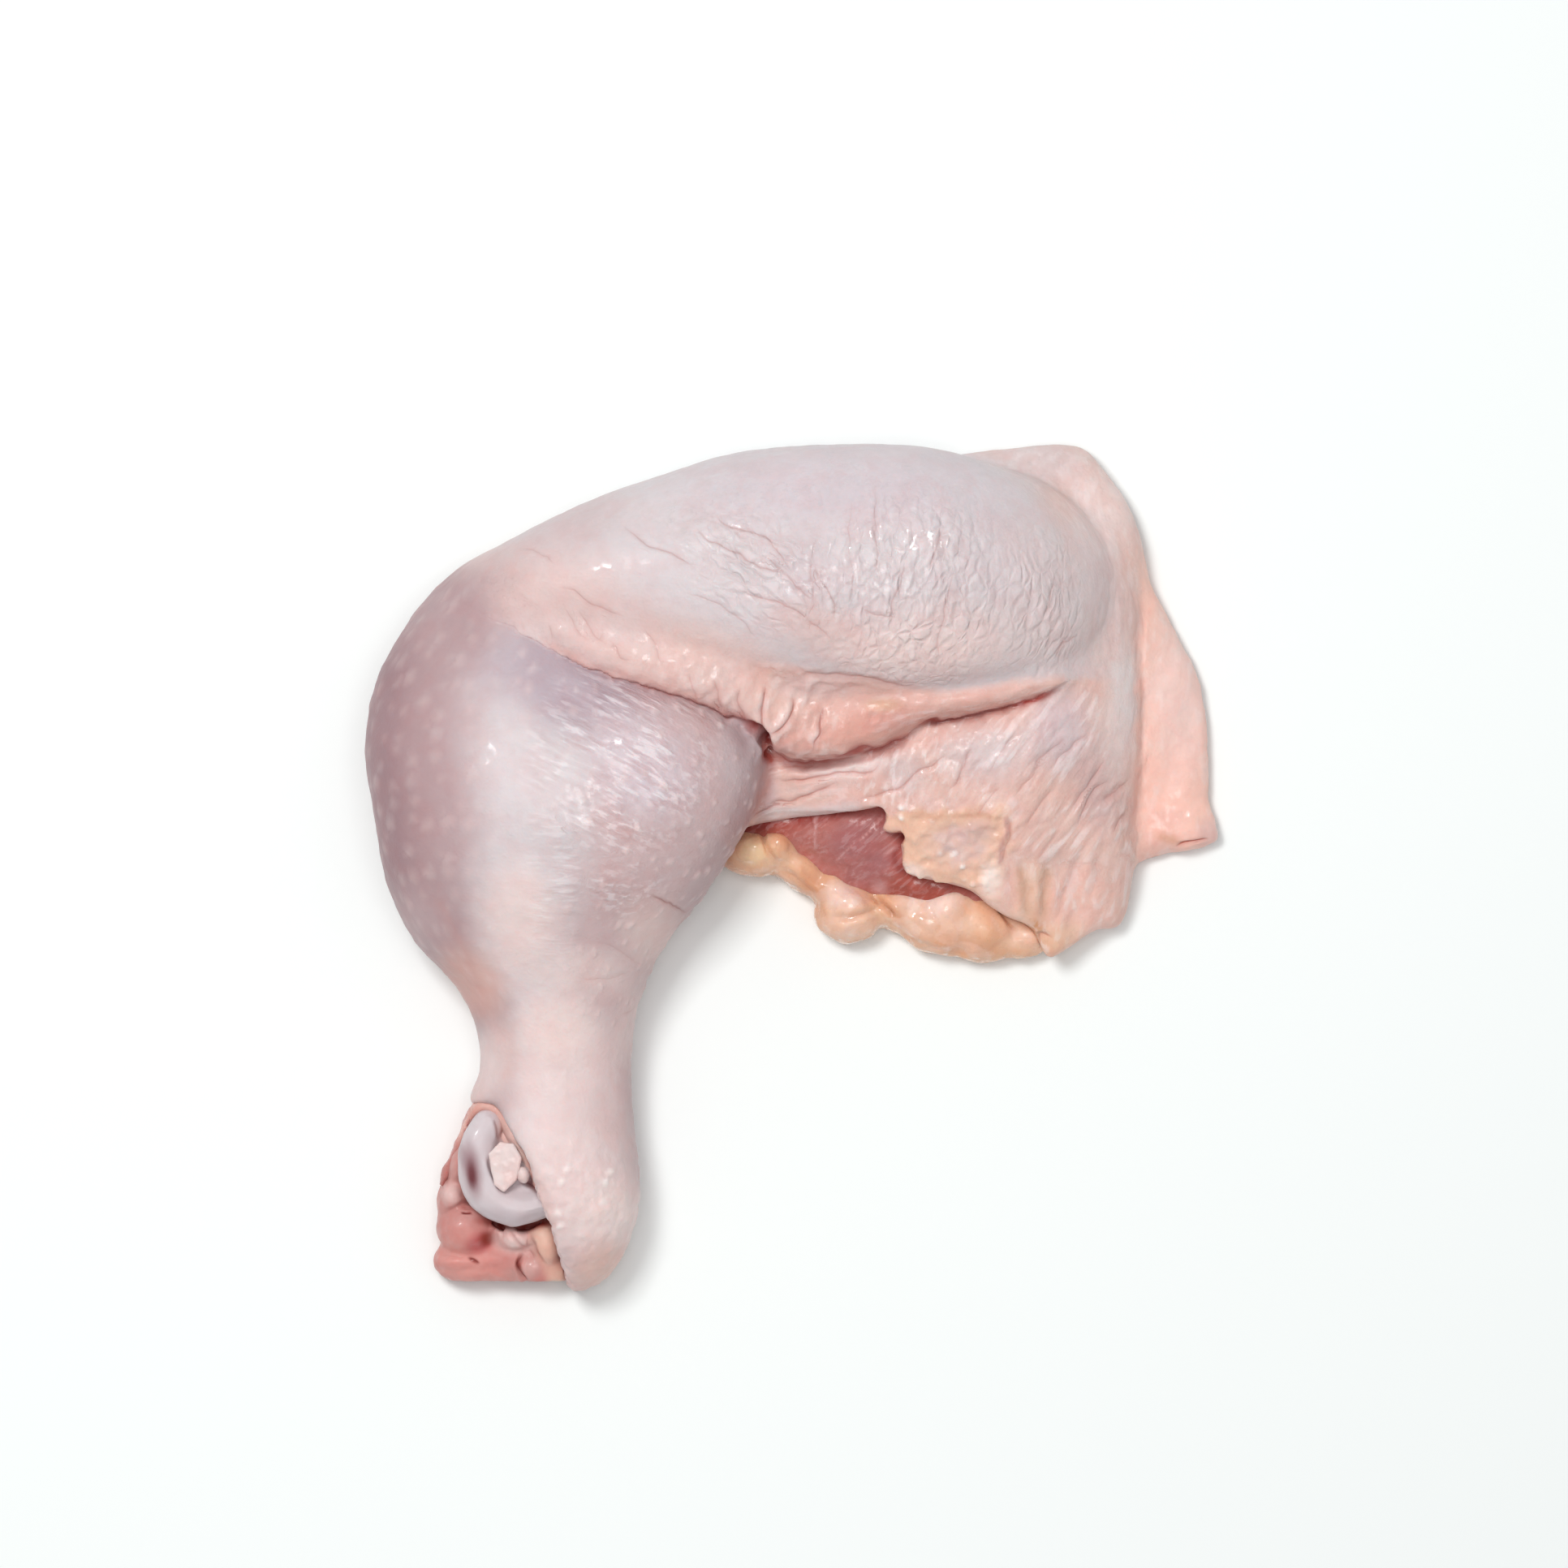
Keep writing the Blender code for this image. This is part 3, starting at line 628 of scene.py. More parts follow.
# the skin over thigh and drumstick
skin = {
    "voxel": 0.95,
    "rounds": 10,
    "triangles": 195000,
    "tones": {
        "pale": (215, 205, 208),
        "lilac": (214, 201, 208),
        "mauve": (208, 195, 199),
        "violet": (181, 163, 173),
        "plum": (160, 128, 133),
        "grape": (178, 149, 152),
        "dusky": (186, 160, 163),
        "rose": (206, 181, 182),
        "rosy": (223, 194, 190),
        "blush": (200, 152, 146),
        "warm": (226, 184, 174),
        "salmon": (224, 166, 152),
        "peach": (251, 203, 189),
        "honey": (224, 182, 158),
        "amber": (212, 152, 112),
        "ivory": (228, 209, 208),
        "shell": (240, 220, 217),
        "coral": (232, 196, 186),
        "cream": (240, 198, 170),
        "white": (236, 224, 223),
        "milk": (254, 246, 244),
        "wine": (176, 66, 54),
        # painted shade: the darkest red, for gaps
        "gapShadeRed": (120, 34, 30),
    },
    # the drumstick's tones from its outer side to its inner side: share of the way across, tone. The plum
    # outer side is its own colour; the pale middle is partly painted highlight along the limb's crest, and
    # the rose towards the inner side partly painted light against the shade there
    "drumBands": ((0.0, "plum"), (0.05, "plum"), (0.12, "grape"), (0.2, "dusky"), (0.34, "pale"),
                  (0.52, "pale"), (0.66, "rose"), (0.9, "rose"), (1.0, "dusky")),
    # the limb's axis: its level and the radius that its skin is laid flat at
    "drumLevel": 12,
    "drumRadius": 34,
    "follicleStep": 4.4,
    # the drumstick's two sides, level by level up the picture
    "drumSides": ((-80, -50, -40), (-64, -63, -28), (-45, -59, -29), (-36, -58, -30), (-26, -60, -28),
                  (-14, -70, -23), (-2, -75, -14), (10, -77, -7), (22, -79, -5), (34, -77, -6), (46, -71, -8),
                  (60, -62, -10)),
    # what the other regions start from
    "grounds": {"thigh": "pale", "roll": "warm", "column": "coral", "apron": "coral", "flap": "peach"},
    # coats over that, region by region: tone, middle, size, turn, strength
    "coats": {
        "drum": [
            ("violet", (-42, 34), (26, 14), -22, 0.9),
            ("dusky", (-62, 46), (16, 12), 40, 0.9),
            ("grape", (-62, 46), (9, 9), 20, 0.5),
            ("pale", (-50, 8), (9, 30), 4, 0.8),
            ("lilac", (-28, 20), (16, 12), -20, 0.5),
            ("mauve", (-9, 20), (8, 14), 0, 0.5),
            ("lilac", (-27, 16), (14, 12), -25, 0.7),
            ("ivory", (-50, -12), (12, 18), 8, 1.0),
            ("shell", (-50, -8), (8, 12), 4, 0.5),
            ("dusky", (-68, -12), (9, 14), 20, 0.9),
            # painted light: paler on the steep, shaded side low on the drumstick
            ("rosy", (-25, -13), (9, 11), 30, 0.8),
            ("shell", (-27, -13), (6, 8), 30, 0.35),
            ("ivory", (-43, -36), (17, 16), 0, 1.0),
            ("ivory", (-42, -58), (20, 26), 0, 1.0),
            ("shell", (-43, -30), (11, 9), 0, 0.9),
            ("shell", (-38, -20), (14, 7), 0, 0.6),
            ("warm", (-59, -22), (8, 11), 35, 0.8),
            ("blush", (-60, -22), (4, 9), 35, 0.35),
            ("shell", (-27, -30), (8, 12), 0, 0.6),
            ("shell", (-33, -66), (12, 12), 0, 0.9),
            ("coral", (-35, -75), (10, 7), 30, 0.9),
            ("rosy", (-54, -35), (5, 9), 0, 0.7),
            ("ivory", (-58, -38), (7, 12), 0, 0.9),
            ("rosy", (-59, -43), (4, 5), 0, 0.6),
            ("dusky", (-8.5, 24.5), (4, 4), 0, 0.7),
        ],
        "thigh": [
            ("rosy", (-58, 52), (16, 12), 30, 0.8),
            ("dusky", (-57, 49), (13, 10), 30, 1.0),
            ("rose", (-42, 62), (18, 7), 26, 0.6),
            ("lilac", (10, 70), (46, 12), 0, 0.7),
            ("lilac", (46, 58), (18, 18), -30, 0.3),
            # painted light: paler at the round far end of the muscle, where it turns into shade
            ("ivory", (48, 55), (14, 20), 0, 0.5),
            ("mauve", (3, 55), (12, 9), -20, 0.6),
            # painted light: paler low on the round far end of the muscle, where it turns into shade
            ("ivory", (48, 40), (13, 11), 0, 0.6),
            ("ivory", (26, 42), (28, 10), 4, 1.0),
            ("rosy", (-44, 50), (20, 12), 10, 0.7),
            ("rosy", (-30, 42), (28, 12), -16, 0.7),
            ("coral", (-12, 36), (24, 10), -20, 0.6),
            ("warm", (-26, 36), (26, 4), -22, 0.4),
            ("salmon", (-8, 31), (10, 5), -20, 0.2),
            ("rosy", (6, 43), (16, 7), -20, 0.7),
            ("rosy", (20, 36), (22, 5), 0, 0.5),
            ("shell", (24, 39.5), (22, 6), 0, 0.8),
        ],
        "roll": [
            ("coral", (-3, 31), (10, 7), 0, 0.9),
            ("salmon", (15, 25.4), (14, 5), 12, 0.9),
            ("blush", (18, 26.4), (8, 3), 12, 0.4),
            ("salmon", (0, 22), (8, 5), 0, 0.4),
            ("rosy", (4, 33), (12, 4), 0, 0.8),
            ("honey", (17, 29.6), (5, 2), 0, 0.8),
            ("warm", (38, 32), (18, 4), 4, 0.9),
            ("salmon", (34, 29.4), (12, 2), 8, 0.35),
            ("coral", (44, 33), (10, 3), 6, 0.6),
        ],
        "apron": [
            ("rose", (-5, 13), (4, 9), 0, 0.9),
            ("rosy", (8, 14.6), (14, 2.4), 6, 0.5),
            ("ivory", (4, 9.4), (12, 2.0), 8, 0.6),
            ("rose", (10, 10.8), (6, 2.4), 10, 0.5),
            # painted light: paler just under the roll, where it lies in its shade
            ("shell", (11, 18), (12, 3), 6, 0.9),
            ("milk", (11, 18), (10, 2.6), 6, 0.5),
            ("warm", (16, 15), (12, 4), 30, 0.4),
            ("pale", (21, 17), (6, 7), 0, 0.5),
            ("wine", (19.9, 5.0), (1.7, 1.9), 0, 1.0),
            ("pale", (36, 21), (14, 9), 0, 0.7),
            ("lilac", (50, 25), (10, 12), 0, 0.7),
            ("rose", (58, 15), (8, 13), 0, 0.8),
            ("coral", (50, 2), (14, 8), 0, 0.6),
            ("peach", (50, -8), (18, 9), 0, 0.6),
            ("cream", (43, -13), (11, 7), 0, 0.7),
            ("cream", (44.5, -5), (5, 8), 0, 0.6),
            ("amber", (45, -11.4), (2.6, 2.2), 0, 0.9),
            ("amber", (46.5, -15), (6, 3.4), 20, 0.5),
            ("cream", (50, -13.6), (7, 4), 25, 0.6),
        ],
        "column": [
            ("pale", (44, 74), (16, 9), 0, 0.7),
            ("lilac", (56, 56), (6, 22), 12, 0.5),
            ("shell", (58, 66), (12, 14), 0, 0.7),
            ("rosy", (60, 46), (6, 12), 0, 0.6),
            # painted light: paler low on the pad's side, which the raised flap shades
            ("shell", (60, 26), (7, 14), 0, 0.9),
            ("white", (61.5, 32), (4.5, 14), 0, 0.9),
        ],
        "flap": [
            ("shell", (72, 32), (10, 24), 0, 0.5),
            ("warm", (70, 3), (10, 5), 0, 0.4),
            ("amber", (69.6, 4.8), (3.4, 1.5), -18, 0.45),
            ("warm", (69.7, 8.6), (6, 3), 0, 0.5),
            ("white", (79.0, 20), (1.8, 26), 0, 0.6),
            ("rosy", (77, 6), (3, 4), 0, 0.6),
        ],
    },
    # thin lines along the folds, some the skin's own tints and some painted shade: tone, line, width,
    # strength
    "tintsAndShadeLines": [
        # painted shade: dark red in the gap under the roll's firm rope, with a warm halo under it
        ("wine", ((22.0, 24.7), (25.0, 26.4), (29.0, 26.7), (33, 27.4), (38, 28.6), (44, 30.3), (50, 33.0)),
         0.7, 1.0),
        ("gapShadeRed", ((24.0, 25.8), (29.0, 26.8), (33, 27.5), (38, 28.7), (42, 29.8)), 0.4, 0.9),
        ("blush", ((30, 25.6), (34, 26.4), (37, 27.0)), 1.1, 0.7),
        # painted shade in the gap under the roll's left part
        ("wine", ((-3.6, 21.4), (-1.7, 19.6), (2.5, 18.8), (8.3, 19.8), (12.1, 21.3), (16.6, 21.7),
                  (22.6, 24.7)), 0.75, 0.9),
        # painted shade in the groove under the thigh's edge
        ("wine", ((-30, 34.0), (-21.8, 31.7), (-14.6, 29.4), (-12.3, 27.7), (-10.0, 27.9), (-7.9, 26.7)), 0.5,
         0.8),
        # painted shade: warm bands below the roll, where it shades the skin
        ("warm", ((22, 23.4), (33, 25.2), (42, 28.0)), 2.0, 0.5),
        ("blush", ((-3.5, 20.4), (-1.7, 18.8), (2.5, 18.0), (8.3, 19.0), (16.6, 20.7), (22.6, 23.6)), 1.0,
         0.75),
        # painted shade in the pinch between drumstick and roll, and along the drumstick's inner edge
        ("wine", ((-13.0, 27.8), (-10.0, 27.9), (-7.6, 26.6), (-5.6, 25.2)), 0.9, 0.8),
        ("blush", ((-3.4, 22.8), (-2.6, 21.4), (-1.2, 20.4)), 1.5, 0.8),
        ("wine", ((-8.4, 27.0), (-6.4, 25.5), (-5.1, 24.1), (-4.6, 22.4), (-4.4, 20.6), (-3.8, 19.0),
                  (-4.1, 17.0)), 1.0, 0.9),
        ("gapShadeRed", ((-7.4, 26.2), (-5.9, 25.0), (-4.9, 23.8), (-4.7, 21.8)), 0.8, 1.0),
        ("blush", ((-4.1, 17.2), (-5.0, 13.5), (-6.2, 10.6)), 0.8, 0.6),
        ("ivory", ((-6.0, 9.2), (-1.1, 10.0), (4.0, 9.8), (9.0, 10.2), (13.6, 11.2)), 1.1, 0.8),
        ("rosy", ((-54.1, -46.1), (-52.3, -49), (-50, -53.5), (-47.2, -59), (-45, -65), (-43, -72)), 1.2,
         0.7),
        # painted shade along the drumstick's inner edge and under the roll's left corner
        ("blush", ((-4.2, 19.5), (-4.6, 16.0), (-5.6, 12.0), (-7.6, 8.6)), 1.0, 0.8),
        ("blush", ((-3.0, 22.0), (0.5, 20.8), (4.0, 20.2)), 1.6, 0.5),
        ("salmon", ((-48, 42.6), (-41.3, 39.4), (-35.3, 36.9), (-29.3, 35.1), (-21.8, 33.0), (-14.3, 30.2),
                    (-8, 27.8)), 0.9, 0.4),
        # painted shade: a thin line under the thigh's edge along the groove
        ("blush", ((-44, 40.2), (-35.3, 36.0), (-29.3, 34.2), (-21.8, 32.0), (-14.3, 29.4), (-7.7, 26.9)),
         0.5, 0.8),
        ("honey", ((42.4, 0.0), (42.9, -3.4), (43.7, -10.1)), 1.1, 0.8),
        ("honey", ((47.2, 0.0), (46.9, -1.4), (46.6, -5), (46.1, -10.1)), 1.1, 0.8),
        ("salmon", ((63.8, 56), (63.6, 40), (63.8, 24), (63.6, 8)), 1.0, 0.15),
        ("blush", ((-66.0, -5), (-60, -17), (-57.5, -24)), 0.7, 0.3),
    ],
    # the yellow membrane over the edge of the bare meat
    "patch": ((17.4, 9.2), (24, 9.8), (33, 9.8), (39.2, 9.4), (40.2, 4.0), (38.4, -1), (37.6, -7), (33, -5),
              (27, -3.6), (20, -2.4), (19.4, 0), (19.4, 5)),
    # where it is firm and lumpy: middle, radius
    "rim": (((20.4, 9.6), 2.6), ((22.4, 5.6), 1.8), ((26.4, 9.2), 2.0), ((38.4, 8.6), 2.2),
            ((36.6, -1.6), 2.8), ((34.4, -4.2), 2.2), ((29.0, 2.0), 3.4), ((31.6, -1.0), 2.6),
            ((38.4, 2.6), 1.8)),
    "pimples": ((-42.6, -58.7), (-41.5, -56.3), (-33.7, -56.8), (-34.4, -58.6), (-34.9, -62.3),
                (-43.4, -64.4), (-42.9, -66.8)),
    # where thick skin hangs over what lies beside it
    "folds": {
        "groove": {"starts": 0.25, "over": 0.7, "lift": 0.8, "sink": 0.4, "deep": 0.5},
        "rollEdge": {"starts": 0.7, "over": 0.2, "lift": 0.6, "sink": 0.15, "deep": 0.9, "reach": 7.0,
                     "close": 0.35},
    },
    # small moves: middle, half sizes, turn, how far
    "shifts": (
        ((14.6, 8.4), (3.6, 3.0), 0, (1.5, 1.0)),  # the opening has a sharp far corner
        ((15.4, 9.2), (2.2, 1.8), 0, (0.7, 0.7)),
        ((18.4, 6.9), (2.0, 1.9), 0, (-1.3, -0.4)),
        ((-52.4, -49.6), (4.6, 7.5), 24, (-1.9, -0.5)),  # at the hock it reaches the raw lip
        ((-58.0, -42.6), (4.0, 4.6), 10, (-1.2, -1.1)),
        ((78.4, 5.0), (2.4, 2.2), 0, (0.3, -0.2)),  # the flap's lower corner is pointed
    ),
    "finish": {
        "shade": (0.6, 0.24, 0.2),
        "mottle": {"Cloud Size": 90.0, "Clouds": 0.12, "Blotch Size": 420.0, "Blotches": 0.1,
                   "Crease Strength": 1.0, "Tint Size": 200.0, "Tint Amount": 0.3},
        "grain": {"Relief": 0.00021, "Rough": 0.5},
        "moist": "moist",
        # for the net and the fibres, paint is the painted highlight on their crests and dark the painted
        # shade in their lines and furrows
        "net": {"height": 1.5, "dark": 0.12, "paint": 0.22},
        "fibre": {"height": 1.5, "dark": 0.14, "paint": 0.7},
        "shader": {"Subsurface Weight": 0.3, "Subsurface Radius": (1.0, 0.45, 0.35),
                   "Subsurface Scale": 0.0012, "IOR": 1.38, "Coat Roughness": 0.16},
    },
}

# lines on the skin, seen from above
seams = {
    # the thigh's skin ends over the drumstick along this line
    "groove": (
        (-54.8, 45.5), (-51.8, 44.0), (-41.3, 38.3), (-35.3, 35.9), (-29.3, 34.1), (-21.8, 31.9),
        (-17.3, 30.2), (-14.6, 29.6), (-12.3, 27.9), (-10.0, 28.1), (-7.9, 26.9), (-4.9, 24.8),
    ),
    # the drumstick's inner side, down from the pinch
    "drumEdge": ((-6.4, 25.4), (-5.4, 23.4), (-4.9, 21.4), (-4.4, 19), (-4.9, 15), (-5.9, 11.5), (-7.6, 8.4),
                 (-9.2, 5), (-11, 0)),
    # lower and upper edge of the roll of slack skin
    "rollEdge": (
        (-4.4, 23.5), (-3.5, 21.7), (-1.7, 19.9), (2.5, 19.0), (8.3, 20.0), (12.1, 21.5), (16.6, 21.9),
        (19.4, 23.0), (22.6, 24.9), (25.4, 26.9), (29.2, 27.1), (34.1, 28.1), (40.7, 29.6), (46.1, 31.4),
        (51.7, 34.4),
    ),
    "rollTop": (
        (-9.0, 37.0), (0.7, 36.4), (5.5, 35.2), (12.1, 34.5), (19.1, 33.4), (23.0, 32.6), (29.6, 32.2),
        (34.1, 32.7), (40.7, 33.9), (48.1, 34.6), (51.7, 35.0),
    ),
    "hockEdge": ((-46.5, -60.2), (-44.9, -64.7), (-43.6, -68.6), (-42, -73.4), (-41.6, -76.4)),
    # the crest of the roll's firm rope
    "rollCrest": ((13.0, 31.2), (18.0, 30.4), (24.0, 29.9), (30.0, 30.2), (36.0, 31.2), (43.0, 32.7),
                  (50.0, 34.4)),
    # the far side of the thigh's muscle, where thinner skin begins
    "muscleStep": ((38.0, 76.5), (42.8, 73.2), (51.6, 67.7), (56.4, 61.1), (58.2, 55.0), (57.8, 45.0),
                   (55.0, 39.5)),
    "flapStep": ((64.0, 56.3), (63.6, 45.8), (63.6, 35.3), (63.8, 24.8), (63.6, 15.8), (63.4, 8.3)),
    "muscleEdge": (
        (30.0, 77.4), (34.5, 76.0), (39.7, 72.8), (47.2, 66.8), (53.2, 59.3), (56.2, 51.8), (56.9, 39.8),
        (57.2, 31.0),
    ),
}

# creases of the skin: the line, how deep, how wide, and how dark the painted shade in it is
skinCreases = (
    (((-31.4, 62.8), (-26.6, 59.2), (-22.9, 57.8), (-16.6, 54.9)), 0.08, 0.45, 0.4),
    (((-43.4, 51.5), (-40.1, 50.6), (-37.2, 48.2), (-33.4, 46.8), (-30.5, 45.8)), 0.08, 0.45, 0.32),
    (((-50.6, 58.3), (-46.7, 57.8), (-43.9, 55.4)), 0.06, 0.45, 0.25),
    (((-14.8, 65.5), (-11.8, 62.6), (-5.6, 61.1), (-2.8, 58.3), (0.2, 53.6)), 0.1, 0.45, 0.42),
    (((-18.1, 63.1), (-15.2, 59.7), (-10.4, 57.8), (-5.6, 55.0), (1.1, 53.0)), 0.12, 0.45, 0.45),
    (((-10.9, 52), (-8.5, 50.2), (-1.8, 48.2), (2.0, 45.8), (5.3, 43.4), (9.0, 40.6)), 0.12, 0.45, 0.4),
    (((-42.0, 48.2), (-39.6, 43.4), (-37.2, 41.0)), 0.08, 0.45, 0.22),
    (((-33.8, 42.0), (-31.4, 38.2), (-29.0, 37.7)), 0.1, 0.45, 0.25),
    (((-45.0, 44.6), (-43.9, 41.5)), 0.08, 0.45, 0.2),
    (((15.6, 71), (15.5, 64), (15.9, 56), (16.2, 50)), 0.12, 0.6, 0.3),
    (((10.9, 68), (10.6, 60), (11.2, 52), (10.4, 45)), 0.12, 0.6, 0.25),
    (((28.4, 62.6), (26.2, 57.4), (25.6, 53)), 0.16, 0.5, 0.35),
    (((20.8, 57), (20.3, 52.1), (18.8, 49), (18.4, 43)), 0.16, 0.5, 0.35),
    (((30.4, 55.4), (28.8, 49), (27.2, 41.3), (27.6, 37)), 0.16, 0.5, 0.35),
    (((48.7, 54.4), (47.9, 49), (46.7, 45.2)), 0.2, 0.5, 0.3),
    (((53.3, 42.5), (50.2, 41), (48.7, 37.6)), 0.2, 0.5, 0.35),
    (((5.0, 61), (3.4, 55), (4.2, 49), (2.6, 44)), 0.12, 0.5, 0.35),
    (((0.5, 37.8), (1.6, 36.0), (4.0, 35.2), (10.6, 34.9), (17.3, 33.6), (24.0, 32.9)), 0.35, 0.5, 0.45),
    (((-8.6, 27.0), (-6.6, 25.6), (-5.3, 24.2), (-4.8, 22.6), (-4.6, 21.0), (-4.1, 19.0)), 2.4, 0.9, 1.0),
    (((-4.7, 33.2), (-5.2, 29.9), (-5.3, 26.6), (-4.9, 25.0)), 0.4, 0.45, 0.7),
    (((0.4, 31.2), (0.4, 29.4), (-0.2, 26.8), (-2.2, 25.2), (-4.6, 25.0)), 0.35, 0.45, 0.65),
    (((5.9, 29.6), (5.6, 26.6), (5.0, 23.8), (3.8, 20.8)), 0.35, 0.45, 0.7),
    (((-9.8, 33.0), (-9.4, 30.4), (-8.2, 27.4)), 0.3, 0.5, 0.4),
    (((-14.4, 34.6), (-13.6, 32.0), (-12.4, 28.6)), 0.2, 0.5, 0.3),
    (((-19.0, 35.6), (-18.4, 33.4), (-17.2, 30.8)), 0.2, 0.5, 0.3),
    (((-3.5, 15.2), (0.5, 15.7), (4.7, 16.1), (8.3, 17.0), (12.5, 16.9), (15.2, 17.6), (17.0, 19.6)), 0.5,
      0.5, 0.65),
    (((-5.4, 11.3), (-2.2, 11.6), (1.0, 12.1), (4.7, 13.6), (9.0, 15.2)), 0.4, 0.45, 0.6),
    (((11.2, 12.2), (14.8, 12.5), (17.6, 13.9), (20.8, 14.9), (23.0, 17.0), (26.8, 19.0), (29.0, 21.4)), 0.4,
      0.5, 0.5),
    (((28.6, 13.4), (30.4, 15.2), (32.3, 19.0), (33.7, 22.3)), 0.25, 0.5, 0.4),
    (((-7.6, 8.2), (-5.6, 10.0), (-3.6, 10.9), (0.0, 11.0)), 0.3, 0.45, 0.55),
    (((51.6, 9.6), (53.6, 13.2), (55.4, 15.8), (58.3, 19.9)), 0.3, 0.55, 0.4),
    (((53.2, 6.6), (54.1, 10.0), (56.0, 13.9), (59.3, 15.9)), 0.3, 0.55, 0.4),
    (((57.4, 11.4), (59.9, 13.6), (62.6, 15.8)), 0.4, 0.6, 0.4),
    (((59.4, 5.8), (61.9, 9.9)), 0.4, 0.6, 0.4),
    (((44.6, 17.0), (46.3, 19.7), (50.9, 23.9)), 0.25, 0.5, 0.35),
    (((33.6, 8.6), (36.6, 12.2), (39.0, 14.6)), 0.2, 0.5, 0.3),
    (((43.0, 6.0), (45.4, 10.4), (49.0, 14.4)), 0.25, 0.5, 0.3),
    (((47.6, 17.4), (51.4, 21.4), (55.4, 24.8)), 0.25, 0.5, 0.3),
    (((40.6, 12.0), (44.2, 16.2), (47.4, 19.4)), 0.2, 0.5, 0.3),
    (((36.0, 16.4), (38.6, 20.6), (41.6, 24.6)), 0.2, 0.5, 0.3),
    (((-6.0, 57.6), (-1.6, 54.2), (1.8, 50.6), (4.8, 48.2)), 0.14, 0.45, 0.4),
    (((3.6, 57.0), (5.2, 52.4), (7.6, 49.0), (8.2, 44.6)), 0.14, 0.45, 0.4),
    (((-20.0, 50.4), (-14.6, 48.6), (-9.8, 45.4), (-5.8, 41.2)), 0.1, 0.45, 0.3),
    (((12.6, 47.2), (16.4, 45.8), (19.8, 46.6)), 0.14, 0.45, 0.35),
    (((-27.4, 44.0), (-25.0, 40.4), (-24.2, 36.8)), 0.12, 0.45, 0.25),
    (((-39.6, 47.4), (-36.4, 42.6), (-33.8, 40.4)), 0.12, 0.5, 0.25),
    (((42.4, 1.5), (42.9, -3.4), (43.7, -10.1)), 0.45, 0.9, 0.1),
    (((47.2, 2.0), (46.9, -0.4), (46.6, -5.0), (46.1, -10.1)), 0.45, 0.9, 0.1),
    (((53.6, 4.0), (52.2, -2.0), (49.4, -8.4), (47.6, -12.2)), 0.4, 0.9, 0.1),
    (((40.0, 0.5), (40.4, -4.5), (41.4, -9.5)), 0.35, 0.8, 0.1),
    (((57.0, 3.6), (56.4, -2.4), (54.8, -8.0)), 0.35, 0.9, 0.1),
    (((42.6, -13.0), (44.6, -13.6), (46.4, -12.8), (48.6, -13.8)), 0.5, 0.5, 0.5),
    (((64.0, 56.3), (63.6, 45.8), (63.6, 35.3), (63.8, 24.8), (63.6, 15.8), (63.4, 8.3), (63.2, 1.4)), 0.05,
      0.6, 0.05),
    (((71.0, 3.5), (73.8, 4.2), (76.8, 4.9)), 0.5, 0.35, 1.0),
    (((39.9, 9.0), (40.4, 6.6), (39.8, 3.6), (38.6, 0.4)), 0.35, 0.5, 0.4),
    (((-26.5, -5.5), (-23.0, -7.0), (-18.6, -9.4)), 0.25, 0.4, 0.6),
    (((-40.0, -20.8), (-34.0, -21.2), (-29.0, -19.6)), 0.08, 0.4, 0.16),
    (((-32.0, -28.4), (-28.0, -26.0), (-24.5, -25.4)), 0.08, 0.4, 0.2),
    (((-36.0, -14.0), (-31.0, -16.4), (-27.5, -19.0)), 0.08, 0.4, 0.16),
)


def limbSides(points):
    level, left, right = zip(*skin["drumSides"])
    return np.interp(points[:, 1], level, left), np.interp(points[:, 1], level, right)


def unwrapped(points):
    # the drumstick's skin laid flat: round the limb, then along it
    left, right = limbSides(points)
    turn = np.arctan2(points[:, 2] - skin["drumLevel"], points[:, 0] - (left + right) / 2)
    return np.stack([turn * skin["drumRadius"], points[:, 1], np.zeros(len(points))], -1)


def skinRegions(flat):
    x, y = flat[:, 0], flat[:, 1]
    groove = lineHeight(flat, [(-76, 74), (-62, 56), *seams["groove"]])
    low = lineHeight(flat, seams["rollEdge"])
    high = lineHeight(flat, seams["rollTop"])
    inner = lineAcross(flat, seams["drumEdge"])
    right = lineAcross(flat, seams["muscleEdge"])
    ease = 0.7 + 7 * ramp(-x, 50, 60)
    region = {"drum": ramp((groove - y) / ease, -1, 1) * ramp(inner - x, -0.5, 0.5)}
    rest = 1 - region["drum"]
    uneven = x + 0.9 * swell(np.column_stack([flat / 3.4, np.zeros(len(flat))]), 27)
    region["flap"] = rest * ramp(uneven, 62.8, 64.6) * ramp(58 - y, -2, 2)
    rest = rest - region["flap"]
    reach = 4.0 + 2.0 * ramp(68 - y, 0, 12)
    region["column"] = rest * ramp((x - right) / reach, -1, 1) * ramp(y, -8, 30)
    rest = rest - region["column"]
    region["roll"] = rest * ramp(y - low, -0.5, 0.5) * ramp(high - y, -1.2, 1.2)
    region["roll"] = region["roll"] * ramp(x, -12, -5) * ramp(53 - x, 0, 4)
    rest = rest - region["roll"]
    region["apron"] = rest * ramp(low - y, -0.8, 0.8) * ramp(x, -9, -8)
    region["thigh"] = rest - region["apron"]
    return region


def networkOf(points, heading, length, width, seed):
    # small cushions parted by fine lines: cushion height, depth in a line
    far, gap, own = cells(drawnOut(points, heading, length, width), 0.9, seed)
    return ramp(gap, 0, 0.55) * (0.75 + 0.5 * own), 1 - ramp(gap, 0.02, 0.16)


